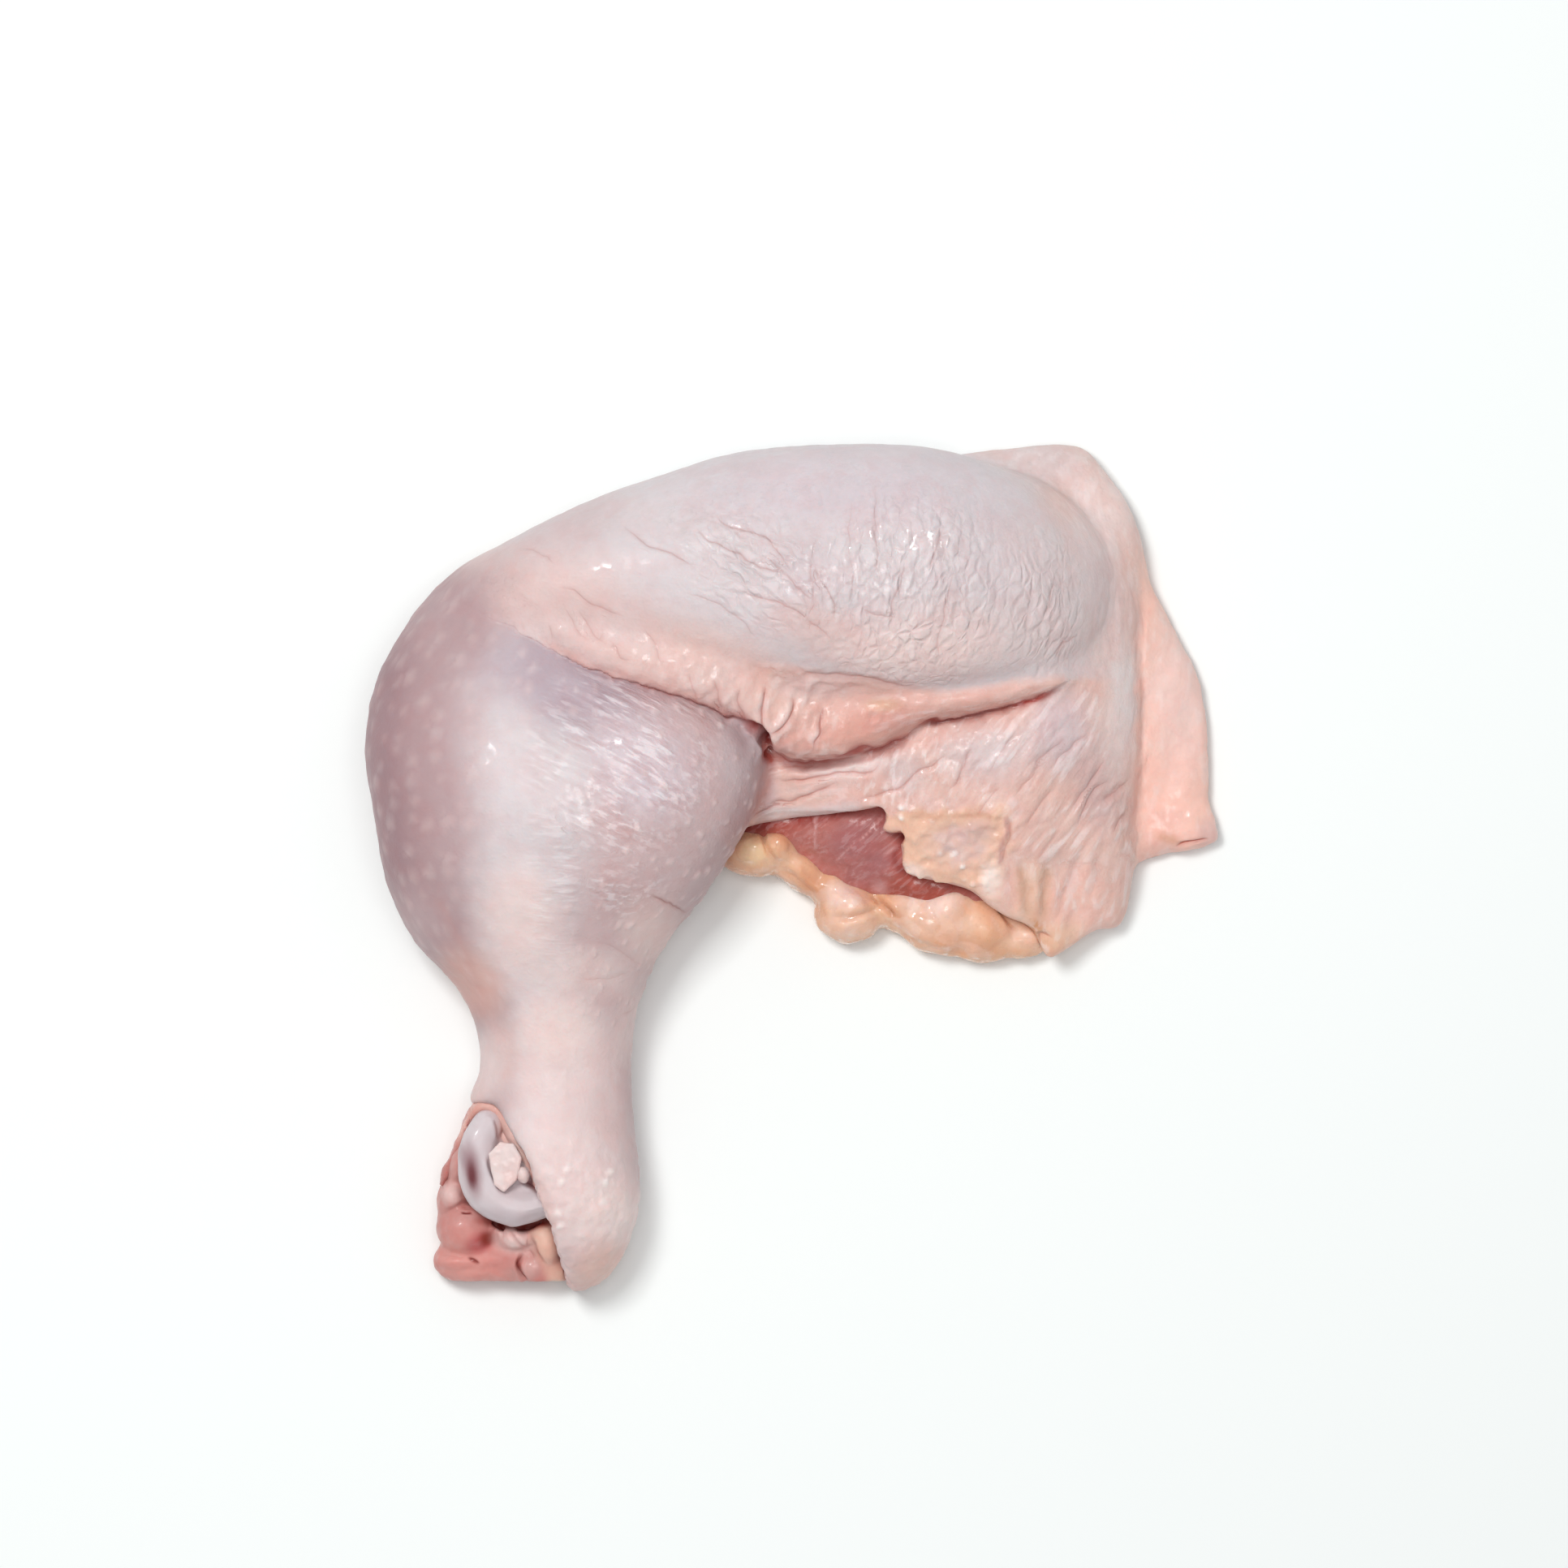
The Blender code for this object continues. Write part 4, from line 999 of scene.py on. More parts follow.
def sculptThigh(points, flat, warp, bend, region, rise, hollow):
    # cushions that fan out from the knee's side, and stand upright on the round of the muscle
    x, thigh = flat[:, 0], region["thigh"]
    fans = (
        (-36, 10.0, 4.0, patch(flat, (-12, 58), (20, 14), -30, 0.8), 0.14, 31),
        (-56, 9.0, 3.4, patch(flat, (4, 52), (13, 17), -20, 0.8), 0.22, 32),
        (87, 9.0, 3.4, patch(flat, (24, 50), (20, 24), 0, 0.7), 0.2, 33),
        (78, 11.0, 4.0, patch(flat, (46, 46), (13, 18), 0, 0.8), 0.16, 34),
        (20, 5.0, 2.8, patch(flat, (12, 39), (22, 7), 0, 0.8), 0.18, 35),
    )
    for heading, length, width, where, high, seed in fans:
        cushion, line = networkOf(warp, heading, length, width, seed)
        amount = thigh * where
        rise += amount * high * (cushion - 0.6)
        # painted shade in the fine lines between the cushions
        np.maximum(hollow, 0.22 * amount * line, out=hollow)
    furrow = np.abs(swell(drawnOut(bend, 88, 18, 5.0), 41))
    furrowed = thigh * patch(flat, (24, 52), (28, 24), 0, 0.7)
    rise -= 0.2 * furrowed * ramp(0.2 - furrow, 0, 0.2)
    # near the drumstick and on the roll's left part: small upright puckers, whose crests get painted
    # highlight
    at, away, side, share = alongPath(flat, seams["groove"], 11)
    edge = np.zeros(len(points))
    edge[at] = (side > 0) * ramp(11 - away, 0, 7)
    folded = np.maximum(thigh * edge * ramp(x, -34, -16), region["roll"] * ramp(14 - x, 0, 10))
    pucker = swell(drawnOut(bend, 84, 4.4, 2.3), 42) + 0.6 * swell(drawnOut(bend, 70, 2.4, 1.5), 54)
    rise += 0.36 * folded * pucker
    rise += 0.3 * thigh * edge * swell(drawnOut(bend, -24, 6.0, 3.0), 25)
    rise += 0.12 * thigh * edge * swell(drawnOut(bend, 60, 2.6, 1.4), 28)
    rise += 0.05 * thigh * swell(points / 1.7, 29)
    return folded, folded * ramp(pucker, 0.1, 0.6)


def sculptRoll(points, flat, warp, bend, roll, rise):
    # plump, with slow swellings, a firm crest, and small wet lumps under the crest
    rise += 0.35 * roll * ramp(22 - flat[:, 0], 0, 14) * swell(drawnOut(bend, 80, 9, 4.2), 43)
    rise += 0.16 * roll * swell(drawnOut(warp, 12, 3.4, 1.4), 55)
    at, away, side, share = alongPath(flat, seams["rollCrest"], 4)
    rise[at] += 0.6 * bell(away, 1.5) * ramp(share, 0, 0.2) * roll[at]
    wet = roll * patch(flat, (16.5, 27.6), (6, 2.2), 8, 0.8)
    rise += 0.5 * wet * swell(points / 1.4, 44)


def sculptDrum(points, flat, drum, rise):
    # raised follicles in rough rows, larger on its outer side
    x, y = flat[:, 0], flat[:, 1]
    step = skin["follicleStep"]
    uneven = 0.16 * np.column_stack([strayed(points, 1.9, (23, 24)), np.zeros(len(points))])
    places = unwrapped(points) / step + uneven + np.array((0, 0, 0.5))
    far, gap, own = cells(places, np.array((0.9, 0.8, 0)), 5)
    size = (2.3 - 1.0 * ramp(x, -58, -36)) * (0.6 + 0.5 * own)
    dome = ramp(size - far * step, 0, size) * (0.35 + 0.65 * own)
    smooth = 1 - 0.6 * patch(flat, (-34, 24), (13, 15), -30, 0.7)
    plain = (1 - 0.8 * patch(flat, (-48, 4), (8, 34), 4, 0.7)) * smooth
    dome = dome * drum * plain * (0.3 + 0.7 * ramp(y, -46, -16)) * ramp(y, -76, -60)
    rise += (0.16 + 0.2 * ramp(x, -56, -34)) * dome
    rise += drum * (0.14 * swell(drawnOut(points, -30, 7, 4), 22) + 0.04 * swell(points / 1.5, 70))
    # the hock's skin is rough, with pale pimples
    rough = drum * ramp(-46 - y, 0, 12)
    rise += rough * (0.26 * swell(points / 2.6, 17) + 0.16 * swell(points / 1.2, 18))
    pimple = np.zeros(len(points))
    for at in skin["pimples"]:
        pimple = np.maximum(pimple, patch(flat, at, (1.3, 1.0), 40, 0.9))
    rise += 0.22 * pimple
    return dome, pimple


def sculptApron(points, flat, warp, bend, apron, rise, hollow):
    # inner side: wrinkles that lean to the right, ropes towards the lower edge, and pleats from the pinch
    x, y = flat[:, 0], flat[:, 1]
    lean, line = networkOf(warp, 54, 11, 2.5, 45)
    drift = y + 4.0 * swell(points / 6, 63)
    leaning = apron * ramp(x, 18, 30) * ramp(drift, -3, 6)
    rise += 0.26 * leaning * (lean - 0.6)
    # painted shade in the fine lines between the leaning wrinkles
    np.maximum(hollow, 0.2 * leaning * line, out=hollow)
    small = swell(drawnOut(warp, 70, 3.6, 1.8), 56)
    blobs = apron * patch(flat, (25, 18), (15, 12), 0, 0.6)
    rise += 0.28 * blobs * small
    rope = swell(drawnOut(bend, 93, 22, 4.4), 46)
    roped = apron * ramp(x, 38, 44) * ramp(6 - drift, 0, 8)
    rise += 0.6 * roped * rope
    pleat = swell(drawnOut(bend, 12, 18, 2.6), 47)
    pleated = apron * ramp(18 - x, 0, 12)
    rise += 0.4 * pleated * pleat
    return 0.8 * blobs * ramp(small, 0.1, 0.6)


def sculptMembrane(points, flat, bend, upward, rise):
    # the yellow membrane: raised, with small lumps and a firm rim
    inside = within(flat, skin["patch"])
    at, away, side, share = alongPath(flat, (*skin["patch"], skin["patch"][0]), 4)
    depth = np.where(inside, 4.0, -4.0)
    depth[at] = np.where(inside[at], away, -away)
    ragged = depth + 1.8 * swell(points / 3, 48) + 0.7 * swell(points / 1.2, 57)
    soft = 1.2 + 2.2 * ramp(flat[:, 0], 31, 38)
    cover = ramp(ragged / soft, -1, 1) * upward
    lump = swell(points / 3.2, 49) + 0.5 * swell(points / 1.4, 50)
    curd = 1 - np.abs(swell(bend / 3.4, 64)) * 2.4
    rise += cover * (0.2 + 0.6 * lump + 0.3 * np.clip(curd, 0, 1) + 0.14 * swell(points / 1.1, 69))
    far, gap, own = cells(points / 1.9, 0.8, 26)
    rim = np.zeros(len(points))
    for at, size in skin["rim"]:
        rim = np.maximum(rim, patch(flat, at, (size, size), 0, 0.7))
    nodule = rim * upward * ramp(0.45 - far, 0, 0.25) * ramp(own, 0.2, 0.5)
    rise += 0.55 * nodule
    rise -= 1.3 * patch(flat, (19.9, 5.0), (1.4, 1.5), 0, 0.9)
    bloom = 0.7 * patch(flat, (22, -1), (5, 2.4), -12, 0.8)
    whitish = cover * np.maximum(patch(flat, (37, -3), (3.4, 5), 0, 0.8), bloom)
    rise += 0.9 * whitish * swell(points / 1.3, 58)
    return cover, np.maximum(whitish, nodule)


def sculptSkin(points, normals, flat, wavy, region, lines):
    # how far each point rises along its normal, how deep in a crease it lies, and the masks that paint it
    y = flat[:, 1]
    rise = np.zeros(len(points))
    hollow = np.zeros(len(points))
    warp = points + 1.2 * strayed(points, 7, (11, 12, 13))
    bend = points + 2.6 * strayed(points, 15, (14, 15, 16))
    folded, crest = sculptThigh(points, flat, warp, bend, region, rise, hollow)
    sculptRoll(points, flat, warp, bend, region["roll"], rise)
    dome, pimple = sculptDrum(points, flat, region["drum"], rise)
    crest = np.maximum(crest, sculptApron(points, flat, warp, bend, region["apron"], rise, hollow))
    cover, whitish = sculptMembrane(points, flat, bend, ramp(normals[:, 2], 0, 0.5), rise)
    # the pad behind the thigh, and the loose flap
    streak, line = networkOf(warp, 86, 10, 2.8, 51)
    rise += 0.24 * region["column"] * (streak - 0.6) * ramp(70 - y, 0, 20)
    rise += 0.4 * region["flap"] * swell(drawnOut(bend, 85, 12, 5), 52)
    rise += 0.08 * swell(points / 3.2, 53) * (1 - region["drum"])
    rise += region["flap"] * (0.2 * swell(points / 3.4, 59) + 0.08 * swell(points / 1.6, 65))
    # a fold under the roll, soft steps down to the thinner skin, and the dark pinch at the drumstick
    at, away, side, share = alongPath(wavy, seams["rollEdge"], 6)
    under = (side < 0) * bell(away - 2.6, 1.5) * ramp(share, 0.02, 0.12) * ramp(0.55 - share, 0, 0.15)
    rise[at] += 0.9 * under
    for name, high, soft, reach in (("muscleStep", 1.2, 7, 15), ("flapStep", 1.0, 2, 10)):
        at, away, side, share = alongPath(flat, seams[name], reach)
        fade = faded(share, 0.3)
        rise[at] += high * fade * ramp(away * side, -soft, soft) * ramp(reach - away, 0, reach)
    rise -= 1.6 * patch(flat, (-5.0, 23.8), (1.5, 2.6), 30, 0.9)
    cutCreases(wavy, normals, rise, hollow, lines, skinCreases)
    return rise, hollow, {"dome": dome, "cover": cover, "crest": crest, "whitish": whitish, "folded": folded,
                          "pimple": pimple}


def foldOver(points, flat, normals, hollow, lines, path, starts, over, lift, sink, deep, reach=12.0,
             close=1.0):
    # thick skin that ends over what lies right of the line: it swells, hangs over and leaves a gap, with
    # painted shade in it
    at, away, side, share = alongPath(flat, path, reach)
    grow = starts + (1 - starts) * ramp(share, 0, 0.8)
    fade = grow * ramp(np.minimum(share + 0.06, close * (1.02 - share)), 0, 0.12)
    fade = fade * ramp(normals[at, 2], -0.3, 0.3)
    upper = (side > 0) * ramp(away, -0.4, 1.7) * ramp(reach - away, 0, reach - 2)
    lower = (side < 0) * ramp(5 - away, 0, 5)
    gap = np.exp(-((away * side + 0.5) ** 2) / 0.4)
    points[at, 2] += fade * (lift * upper - sink * lower - deep * gap)
    line = rounded(path)
    whole = line[-1] - line[0]
    down = np.array([whole[1], -whole[0]]) / np.hypot(*whole)
    lip = (side > 0) * ramp(4.5 - away, 0, 3.5)
    points[at, :2] += (fade * over * lip)[:, None] * down
    hollow[at] = np.maximum(hollow[at], 0.6 * fade * np.exp(-((away * side + 0.4) ** 2) / 0.3))
    drawLine(lines, at, away, side, 0.6 * fade)


def paintSkin(points, flat, wavy, normals, region, made):
    tones = skin["tones"]
    colours = np.zeros((len(flat), 3))
    left, right = limbSides(flat)
    share = np.clip((flat[:, 0] - left) / (right - left), 0, 1)
    bands = np.array([light(tones[tone]) for place, tone in skin["drumBands"]])
    places = [place for place, tone in skin["drumBands"]]
    across = np.stack([np.interp(share, places, bands[:, i]) for i in range(3)], -1)
    for name, amount in region.items():
        ground = across if name == "drum" else np.tile(light(tones[skin["grounds"][name]]), (len(flat), 1))
        colours += coated(ground, flat, tones, skin["coats"][name]) * amount[:, None]
    domes = made["dome"] * (0.26 + 0.4 * ramp(flat[:, 0], -56, -34))
    colours = blended(colours, tones["ivory"], domes)
    # painted highlight on the crests of the puckers and small lumps
    colours = blended(colours, tones["shell"], 0.55 * made["crest"])
    cover = made["cover"]
    colours = blended(colours, tones["cream"], 0.8 * cover)
    middle = patch(flat, (31, 3.6), (9, 6), -10, 0.7) * (0.5 + 0.5 * ramp(swell(points / 2.4, 60), -0.2, 0.4))
    colours = blended(colours, tones["rosy"], 0.9 * cover * middle)
    colours = blended(colours, tones["dusky"], 0.45 * cover * patch(flat, (35, 6.6), (4.4, 3), 0, 0.8))
    colours = blended(colours, tones["honey"], 0.6 * cover * patch(flat, (26, 9.2), (9, 1.4), 0, 0.8))
    colours = blended(colours, tones["milk"], 0.7 * made["whitish"])
    colours = blended(colours, tones["milk"], 0.7 * made["pimple"])
    # painted shade: darker lines along the fold at the membrane's top and in the crease at its right border
    rims = (("honey", ((21, 9.4), (27.2, 9.2), (33, 9.2), (38.2, 8.8)), 0.5, 0.9),
            ("blush", ((39.6, 8.4), (39.9, 6.4), (38.9, 3.8), (38.6, 0.6)), 0.5, 0.8))
    for tone, path, width, strength in rims:
        at, away, side, share = alongPath(flat, path, width * 3)
        colours[at] = blended(colours[at], tones[tone], strength * bell(away, width))
    # the skin's own tints, and the painted shade in its gaps and folds
    for tone, path, width, strength in skin["tintsAndShadeLines"]:
        at, away, side, share = alongPath(wavy, path, width * 3)
        fade = faded(share, 0.15) * ramp(normals[at, 2], -0.2, 0.2)
        colours[at] = blended(colours[at], tones[tone], strength * fade * bell(away, width))
    return colours


def paintSkinFlows(mesh, points, flat, normals, region, made):
    # which way its net and its fibres run, and where it is wet
    x, y = flat[:, 0], flat[:, 1]
    names = ("drum", "thigh", "roll", "apron", "column", "flap")
    drum, thigh, roll, apron, column, flap = (region[name] for name in names)
    bare = 1 - made["cover"]
    drift = y + 4.0 * swell(points / 6, 63)
    upright = np.maximum(patch(flat, (22, 50), (24, 24), 0, 0.7),
                         0.8 * patch(flat, (46, 48), (12, 20), 0, 0.8))
    paintFlow(mesh, points, "net", [
        (1.1 * thigh * patch(flat, (-6, 54), (20, 15), -30, 0.9), -38, 5.0, 2.2),
        (thigh * upright, 80, 4.4, 2.2),
    ])
    paintFlow(mesh, points, "fibre", [
        (1.3 * drum * patch(flat, (-31, 20), (22, 25), -25, 0.6), -28, 6.0, 1.0),
        (0.9 * drum * patch(flat, (-44, 0), (8, 26), 0, 0.8), -5, 5.0, 1.0),
        (1.1 * drum * patch(flat, (-31, -4), (10, 9), 0, 0.8), -20, 3.0, 1.2),
        (0.6 * thigh * upright, 87, 7.0, 1.6),
        (0.4 * thigh * patch(flat, (-12, 57), (20, 14), -30, 0.8), -36, 7.0, 1.6),
        (1.1 * apron * ramp(x, 26, 34) * ramp(drift, -2, 3) * bare, 54, 10.0, 1.6),
        (1.1 * apron * patch(flat, (22, 17), (16, 13), 0, 0.6) * bare, 72, 4.0, 1.3),
        (0.9 * apron * ramp(x, 36, 42) * ramp(3 - drift, 0, 5) * bare, 92, 10.0, 1.7),
        (0.6 * apron * ramp(18 - x, 0, 8) * bare, 12, 8.0, 1.4),
        (0.5 * column, 86, 5.0, 2.0),
        (0.5 * flap, 82, 6.0, 2.4),
        (0.45 * made["folded"], 80, 3.2, 1.6),
        (0.7 * roll * ramp(x, 12, 20), 10, 4.0, 1.3),
    ])
    soaked = np.maximum(roll, np.maximum(0.9 * made["cover"], np.maximum(made["crest"], made["whitish"])))
    wetThigh = thigh * (0.8 - 0.5 * patch(flat, (-34, 54), (20, 13), 0, 0.8))
    soaked = np.maximum(soaked, 0.9 * apron + wetThigh + 0.8 * column + 0.6 * flap)
    soaked = np.maximum(soaked, drum * patch(flat, (-24, 12), (26, 28), -25, 0.6) * 0.8)
    paintLayer(mesh, "moist", np.maximum(0.12, soaked * ramp(normals[:, 2], 0.3, 0.75)))


def makeSkin():
    obj, points, normals, flat = started("skin_leg", "skin", skin)
    wavy = flat + 0.5 * strayed(points, 2.6, (67, 68))
    region = skinRegions(wavy)
    lines = noLines(len(points))
    rise, hollow, made = sculptSkin(points, normals, flat, wavy, region, lines)
    points += normals * (rise * ramp(points[:, 2], 0.1, 3.0))[:, None]
    for name, shape in skin["folds"].items():
        foldOver(points, wavy, normals, hollow, lines, seams[name], **shape)
    for at, size, turn, shift in skin["shifts"]:
        points[:, :2] += patch(flat, at, size, turn, 1.0)[:, None] * np.array(shift)
    # its edge at the hock is ragged
    at, away, side, share = alongPath(flat, seams["hockEdge"], 4)
    points[at, 0] += 0.7 * ramp(4 - away, 0, 3) * swell(points[at] / 1.8, 66)
    points[:, 2] = np.maximum(points[:, 2], 0)
    writePoints(obj.data, points)
    paintAll(obj.data, paintSkin(points, flat, wavy, normals, region, made), hollow, lines)
    paintSkinFlows(obj.data, points, flat, normals, region, made)
    thinTo(obj, skin["triangles"])
    obj.data.materials.append(makeFlesh("rawSkin", skin["finish"]))
    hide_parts("skin_leg")
    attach(obj, "root")
    print("skin ready")


# the bare muscle that shows at the opening under the thigh
meat = {
    "voxel": 0.8,
    "rounds": 4,
    "triangles": 60000,
    "tones": {"flesh": (190, 118, 110), "deep": (170, 80, 66), "mauve": (172, 112, 114),
              "film": (210, 160, 158), "wine": (124, 50, 44), "rim": (150, 62, 56)},
    "grow": 1.2,  # it fills its opening
    "edge": ((-7.7, 6.8), (-4.4, 7.7), (-1.1, 8.5), (3.2, 8.0), (8.5, 8.6), (12.1, 9.4), (15.6, 9.6),
             (17.6, 7.6), (18.6, 4.4), (19.2, 0.5), (21.0, -1.6), (24, -2.3), (30, -3.9), (34, -5.2),
             (38, -8)),
    "coats": [
        ("mauve", (12, 5), (8, 6), 20, 0.8),
        # painted shade: darker red along the top of the opening, under the skin's edge
        ("deep", (-1, 9), (9, 4), 20, 0.9),
        ("wine", (-6, 8), (5, 2.4), 10, 0.9),
        ("wine", (3, 9.2), (12, 1.8), 4, 0.6),
        ("deep", (24, -4), (12, 5), -8, 0.9),
        ("mauve", (16.6, 1.6), (4, 3), 0, 0.7),
        ("film", (16.4, -3.4), (2.4, 2.0), 0, 0.7),
        ("wine", (20.4, 4.8), (1.8, 1.6), 0, 0.8),
        ("film", (18.4, 6.2), (1.0, 1.2), 0, 0.8),
        ("film", (18.0, 3.0), (2.0, 0.7), 40, 0.8),
        ("wine", (15.0, 6.6), (3.6, 3.2), 0, 0.35),
        ("mauve", (14, -1), (7, 4), 20, 0.6),
    ],
    # pale threads across it: the line, depth, width, darkness
    "threads": (
        (((4.9, 8.6), (4.7, 6.0), (5.0, 3.0)), -0.25, 0.22, 0),
        (((8.4, 1.2), (10.2, 3.0), (11.6, 4.2)), -0.15, 0.2, 0),
        (((12.6, 4.6), (14.4, 6.6), (15.6, 7.8)), -0.15, 0.2, 0),
        (((16.2, 8.8), (16.5, 7.0), (16.2, 5.6)), -0.3, 0.3, 0),
    ),
    "finish": {
        "shade": (0.4, 0.2, 0.18),
        "mottle": {"Cloud Size": 160.0, "Clouds": 0.25, "Blotch Size": 600.0, "Blotches": 0.12},
        "grain": {"Relief": 0.00012, "Wetness": 0.6, "Rough": 0.4},
        "fibre": {"height": 0.7, "dark": 0.25, "paint": 0.25},
        "shader": {"Subsurface Radius": (1.0, 0.3, 0.25), "Subsurface Scale": 0.0015},
    },
}


def makeMeat():
    obj, points, normals = started("thigh_meat", "meat", meat)[:3]
    # it runs on under the skin towards the drumstick
    points[:, 0] -= 6.5 * ramp(points[:, 0], 5, -4)
    flat = seenFromAbove(points)
    rise = 0.3 * swell(drawnOut(points, 38, 9, 2.6), 61) + 0.15 * swell(points / 2.2, 62)
    hollow = np.zeros(len(points))
    lines = noLines(len(points))
    cutCreases(flat, normals, rise, hollow, lines, meat["threads"])
    threads = np.zeros(len(points))
    for path, deep, wide, dark in meat["threads"]:
        at, away, side, share = alongPath(flat, path, 1.2)
        threads[at] = np.maximum(threads[at], bell(away, wide) * faded(share, 0.2, -0.05))
    points += normals * (rise * ramp(points[:, 2], 0.1, 3))[:, None]
    points[:, :2] += normals[:, :2] * meat["grow"]
    points[:, :2] += patch(flat, (15.5, 8.5), (4.5, 4.5), 0, 1.0)[:, None] * np.array((1.6, 1.4))
    points[:, 0] += 1.8 * patch(flat, (19.0, 4.8), (3.5, 3.0), 0, 1.0)
    points[:, 2] = np.maximum(points[:, 2], 0)
    writePoints(obj.data, points)
    colours = coloured(flat, meat)
    # painted shade: a dark red rim along the meat's edge, where the skin hangs over it
    at, away, side, share = alongPath(flat, meat["edge"], 3)
    colours[at] = blended(colours[at], meat["tones"]["rim"], 0.8 * bell(away, 0.55))
    paintAll(obj.data, blended(colours, meat["tones"]["film"], 0.8 * threads), hollow, lines)
    paintFlow(obj.data, points, "fibre", [(np.ones(len(points)), 40, 6.0, 0.7)])
    thinTo(obj, meat["triangles"])
    obj.data.materials.append(makeFlesh("rawMeat", meat["finish"]))
    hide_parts("thigh_meat")
    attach(obj, "root")
    print("meat ready")


# lobes of yellow fat along the opening
fat = {
    "voxel": 0.55,
    "rounds": 4,
    "triangles": 90000,
    "grow": 0.35,  # it fills its opening
    "tones": {
        "yolk": (232, 188, 158),
        "cream": (240, 206, 188),
        "amber": (220, 160, 126),
        "pink": (244, 216, 206),
        "butter": (255, 217, 176),
        "rind": (204, 140, 114),
    },
    "coats": [
        # painted light: the steep left lobe, which lies in shade, is made paler
        ("butter", (-7.4, 2.4), (5, 4), -10, 0.9),
        ("amber", (-2, 5), (4, 2.4), -40, 0.6),
        ("rind", (-10.6, 4), (2.4, 3), 0, 0.4),
        ("amber", (4, -3.6), (6, 3), -30, 0.8),
        ("pink", (10, -6.5), (6, 4), -20, 0.9),
        ("cream", (10, -11), (7, 5), 0, 0.7),
        ("pink", (25, -7), (9, 4), -10, 0.9),
        ("cream", (26, -11), (12, 6), -12, 0.7),
        ("amber", (32, -15), (12, 3.4), -10, 0.6),
        ("pink", (27, -8.6), (5, 2.4), -10, 0.7),
        ("amber", (19, -9), (1.6, 5), 40, 0.7),
        ("cream", (44, -13), (7, 4), 0, 0.8),
    ],
    # swellings: middle, half sizes, turn, height
    "lumps": [
        ((-7.4, 2.6), (4.6, 3.4), -10, 1.0),
        ((-3.0, 4.0), (3.0, 2.8), 20, 0.9),
        ((1.0, 0.2), (3.6, 2.2), -30, 0.5),
        ((10.4, -7.0), (4.6, 2.8), -10, 1.0),
        ((9.6, -11.6), (3.4, 2.4), 0, 0.7),
        ((22.0, -6.8), (4.4, 2.4), -10, 0.8),
        ((29.0, -8.2), (5.0, 2.8), -14, 0.9),
        ((25.0, -13.4), (5.0, 2.6), -10, 0.5),
        ((36.6, -13.0), (4.4, 3.0), 0, 0.8),
    ],
    "creases": (
        (((-5.4, 6.4), (-5.0, 4.0), (-3.4, 1.4), (-2.0, 0.2)), 0.6, 0.5, 0.4),
        (((-2.2, -0.6), (1.6, -3.2), (5.0, -6.4)), 0.4, 0.6, 0.2),
        (((6.6, -9.4), (10.2, -9.8), (14.0, -8.8), (17.2, -7.0)), 0.5, 0.6, 0.3),
        (((14.6, -5.6), (17.2, -7.6), (19.4, -10.2)), 0.9, 0.6, 0.7),
        (((19.0, -12.0), (26.0, -15.4), (33.0, -16.8)), 0.4, 0.7, 0.2),
        (((37.0, -8.6), (39.6, -10.8), (42.4, -12.2)), 0.4, 0.5, 0.35),
    ),
    "finish": {
        "shade": (0.62, 0.4, 0.28),
        "mottle": {"Cloud Size": 220.0, "Clouds": 0.16, "Blotch Size": 700.0, "Blotches": 0.08,
                   "Crease Strength": 0.8, "Tint": (1.0, 0.86, 0.74, 1), "Tint Size": 260.0},
        "grain": {"Relief": 0.0001, "Wetness": 0.9, "Rough": 0.42, "Wrinkle Size": 600.0},
        "shader": {"Subsurface Weight": 0.4, "Subsurface Radius": (1.0, 0.6, 0.35),
                   "Subsurface Scale": 0.0015, "IOR": 1.42},
    },
}


def makeFat():
    obj, points, normals, flat = started("fat_lobes", "fat", fat)
    rise = raised(points, normals, fat["lumps"])
    rise += 0.3 * swell(points / 4.6, 71) + 0.07 * swell(points / 1.6, 72)
    bend = points + 1.2 * strayed(points, 5, (73, 74, 75))
    far, gap, own = cells(drawnOut(bend, -24, 6.5, 4.0), 0.9, 76)
    rise += 0.16 * (ramp(gap, 0, 0.6) - 0.6)
    # painted shade in the seams between the small lobes
    hollow = 0.06 * (1 - ramp(gap, 0.0, 0.2))
    lines = noLines(len(points))
    cutCreases(flat, normals, rise, hollow, lines, fat["creases"])
    points += normals * (rise * ramp(points[:, 2], 0.1, 3))[:, None]
    points[:, :2] += normals[:, :2] * fat["grow"] * ramp(normals[:, 1:2], -0.3, 0.3)
    over = patch(flat, (33.0, -8.2), (9.5, 4.8), -22, 1.0)
    points[:, 1] += 2.9 * over
    points[:, 2] += 0.8 * over
    points[:, 2] = np.maximum(points[:, 2], 0)
    writePoints(obj.data, points)
    strands = patch(flat, (29.6, -5.2), (3.6, 2.6), -20, 0.7)
    strands = strands * ramp(swell(drawnOut(points, 60, 5.0, 0.9), 77), 0.1, 0.5)
    colours = blended(coloured(flat, fat), fat["tones"]["pink"], 0.2 * ramp(own, 0.55, 0.8) + 0.9 * strands)
    paintAll(obj.data, blended(colours, fat["tones"]["amber"], 0.2 * ramp(own, 0.35, 0.15)), hollow, lines)
    thinTo(obj, fat["triangles"])
    obj.data.materials.append(makeFlesh("rawFat", fat["finish"]))
    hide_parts("fat_lobes")
    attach(obj, "root")
    print("fat ready")


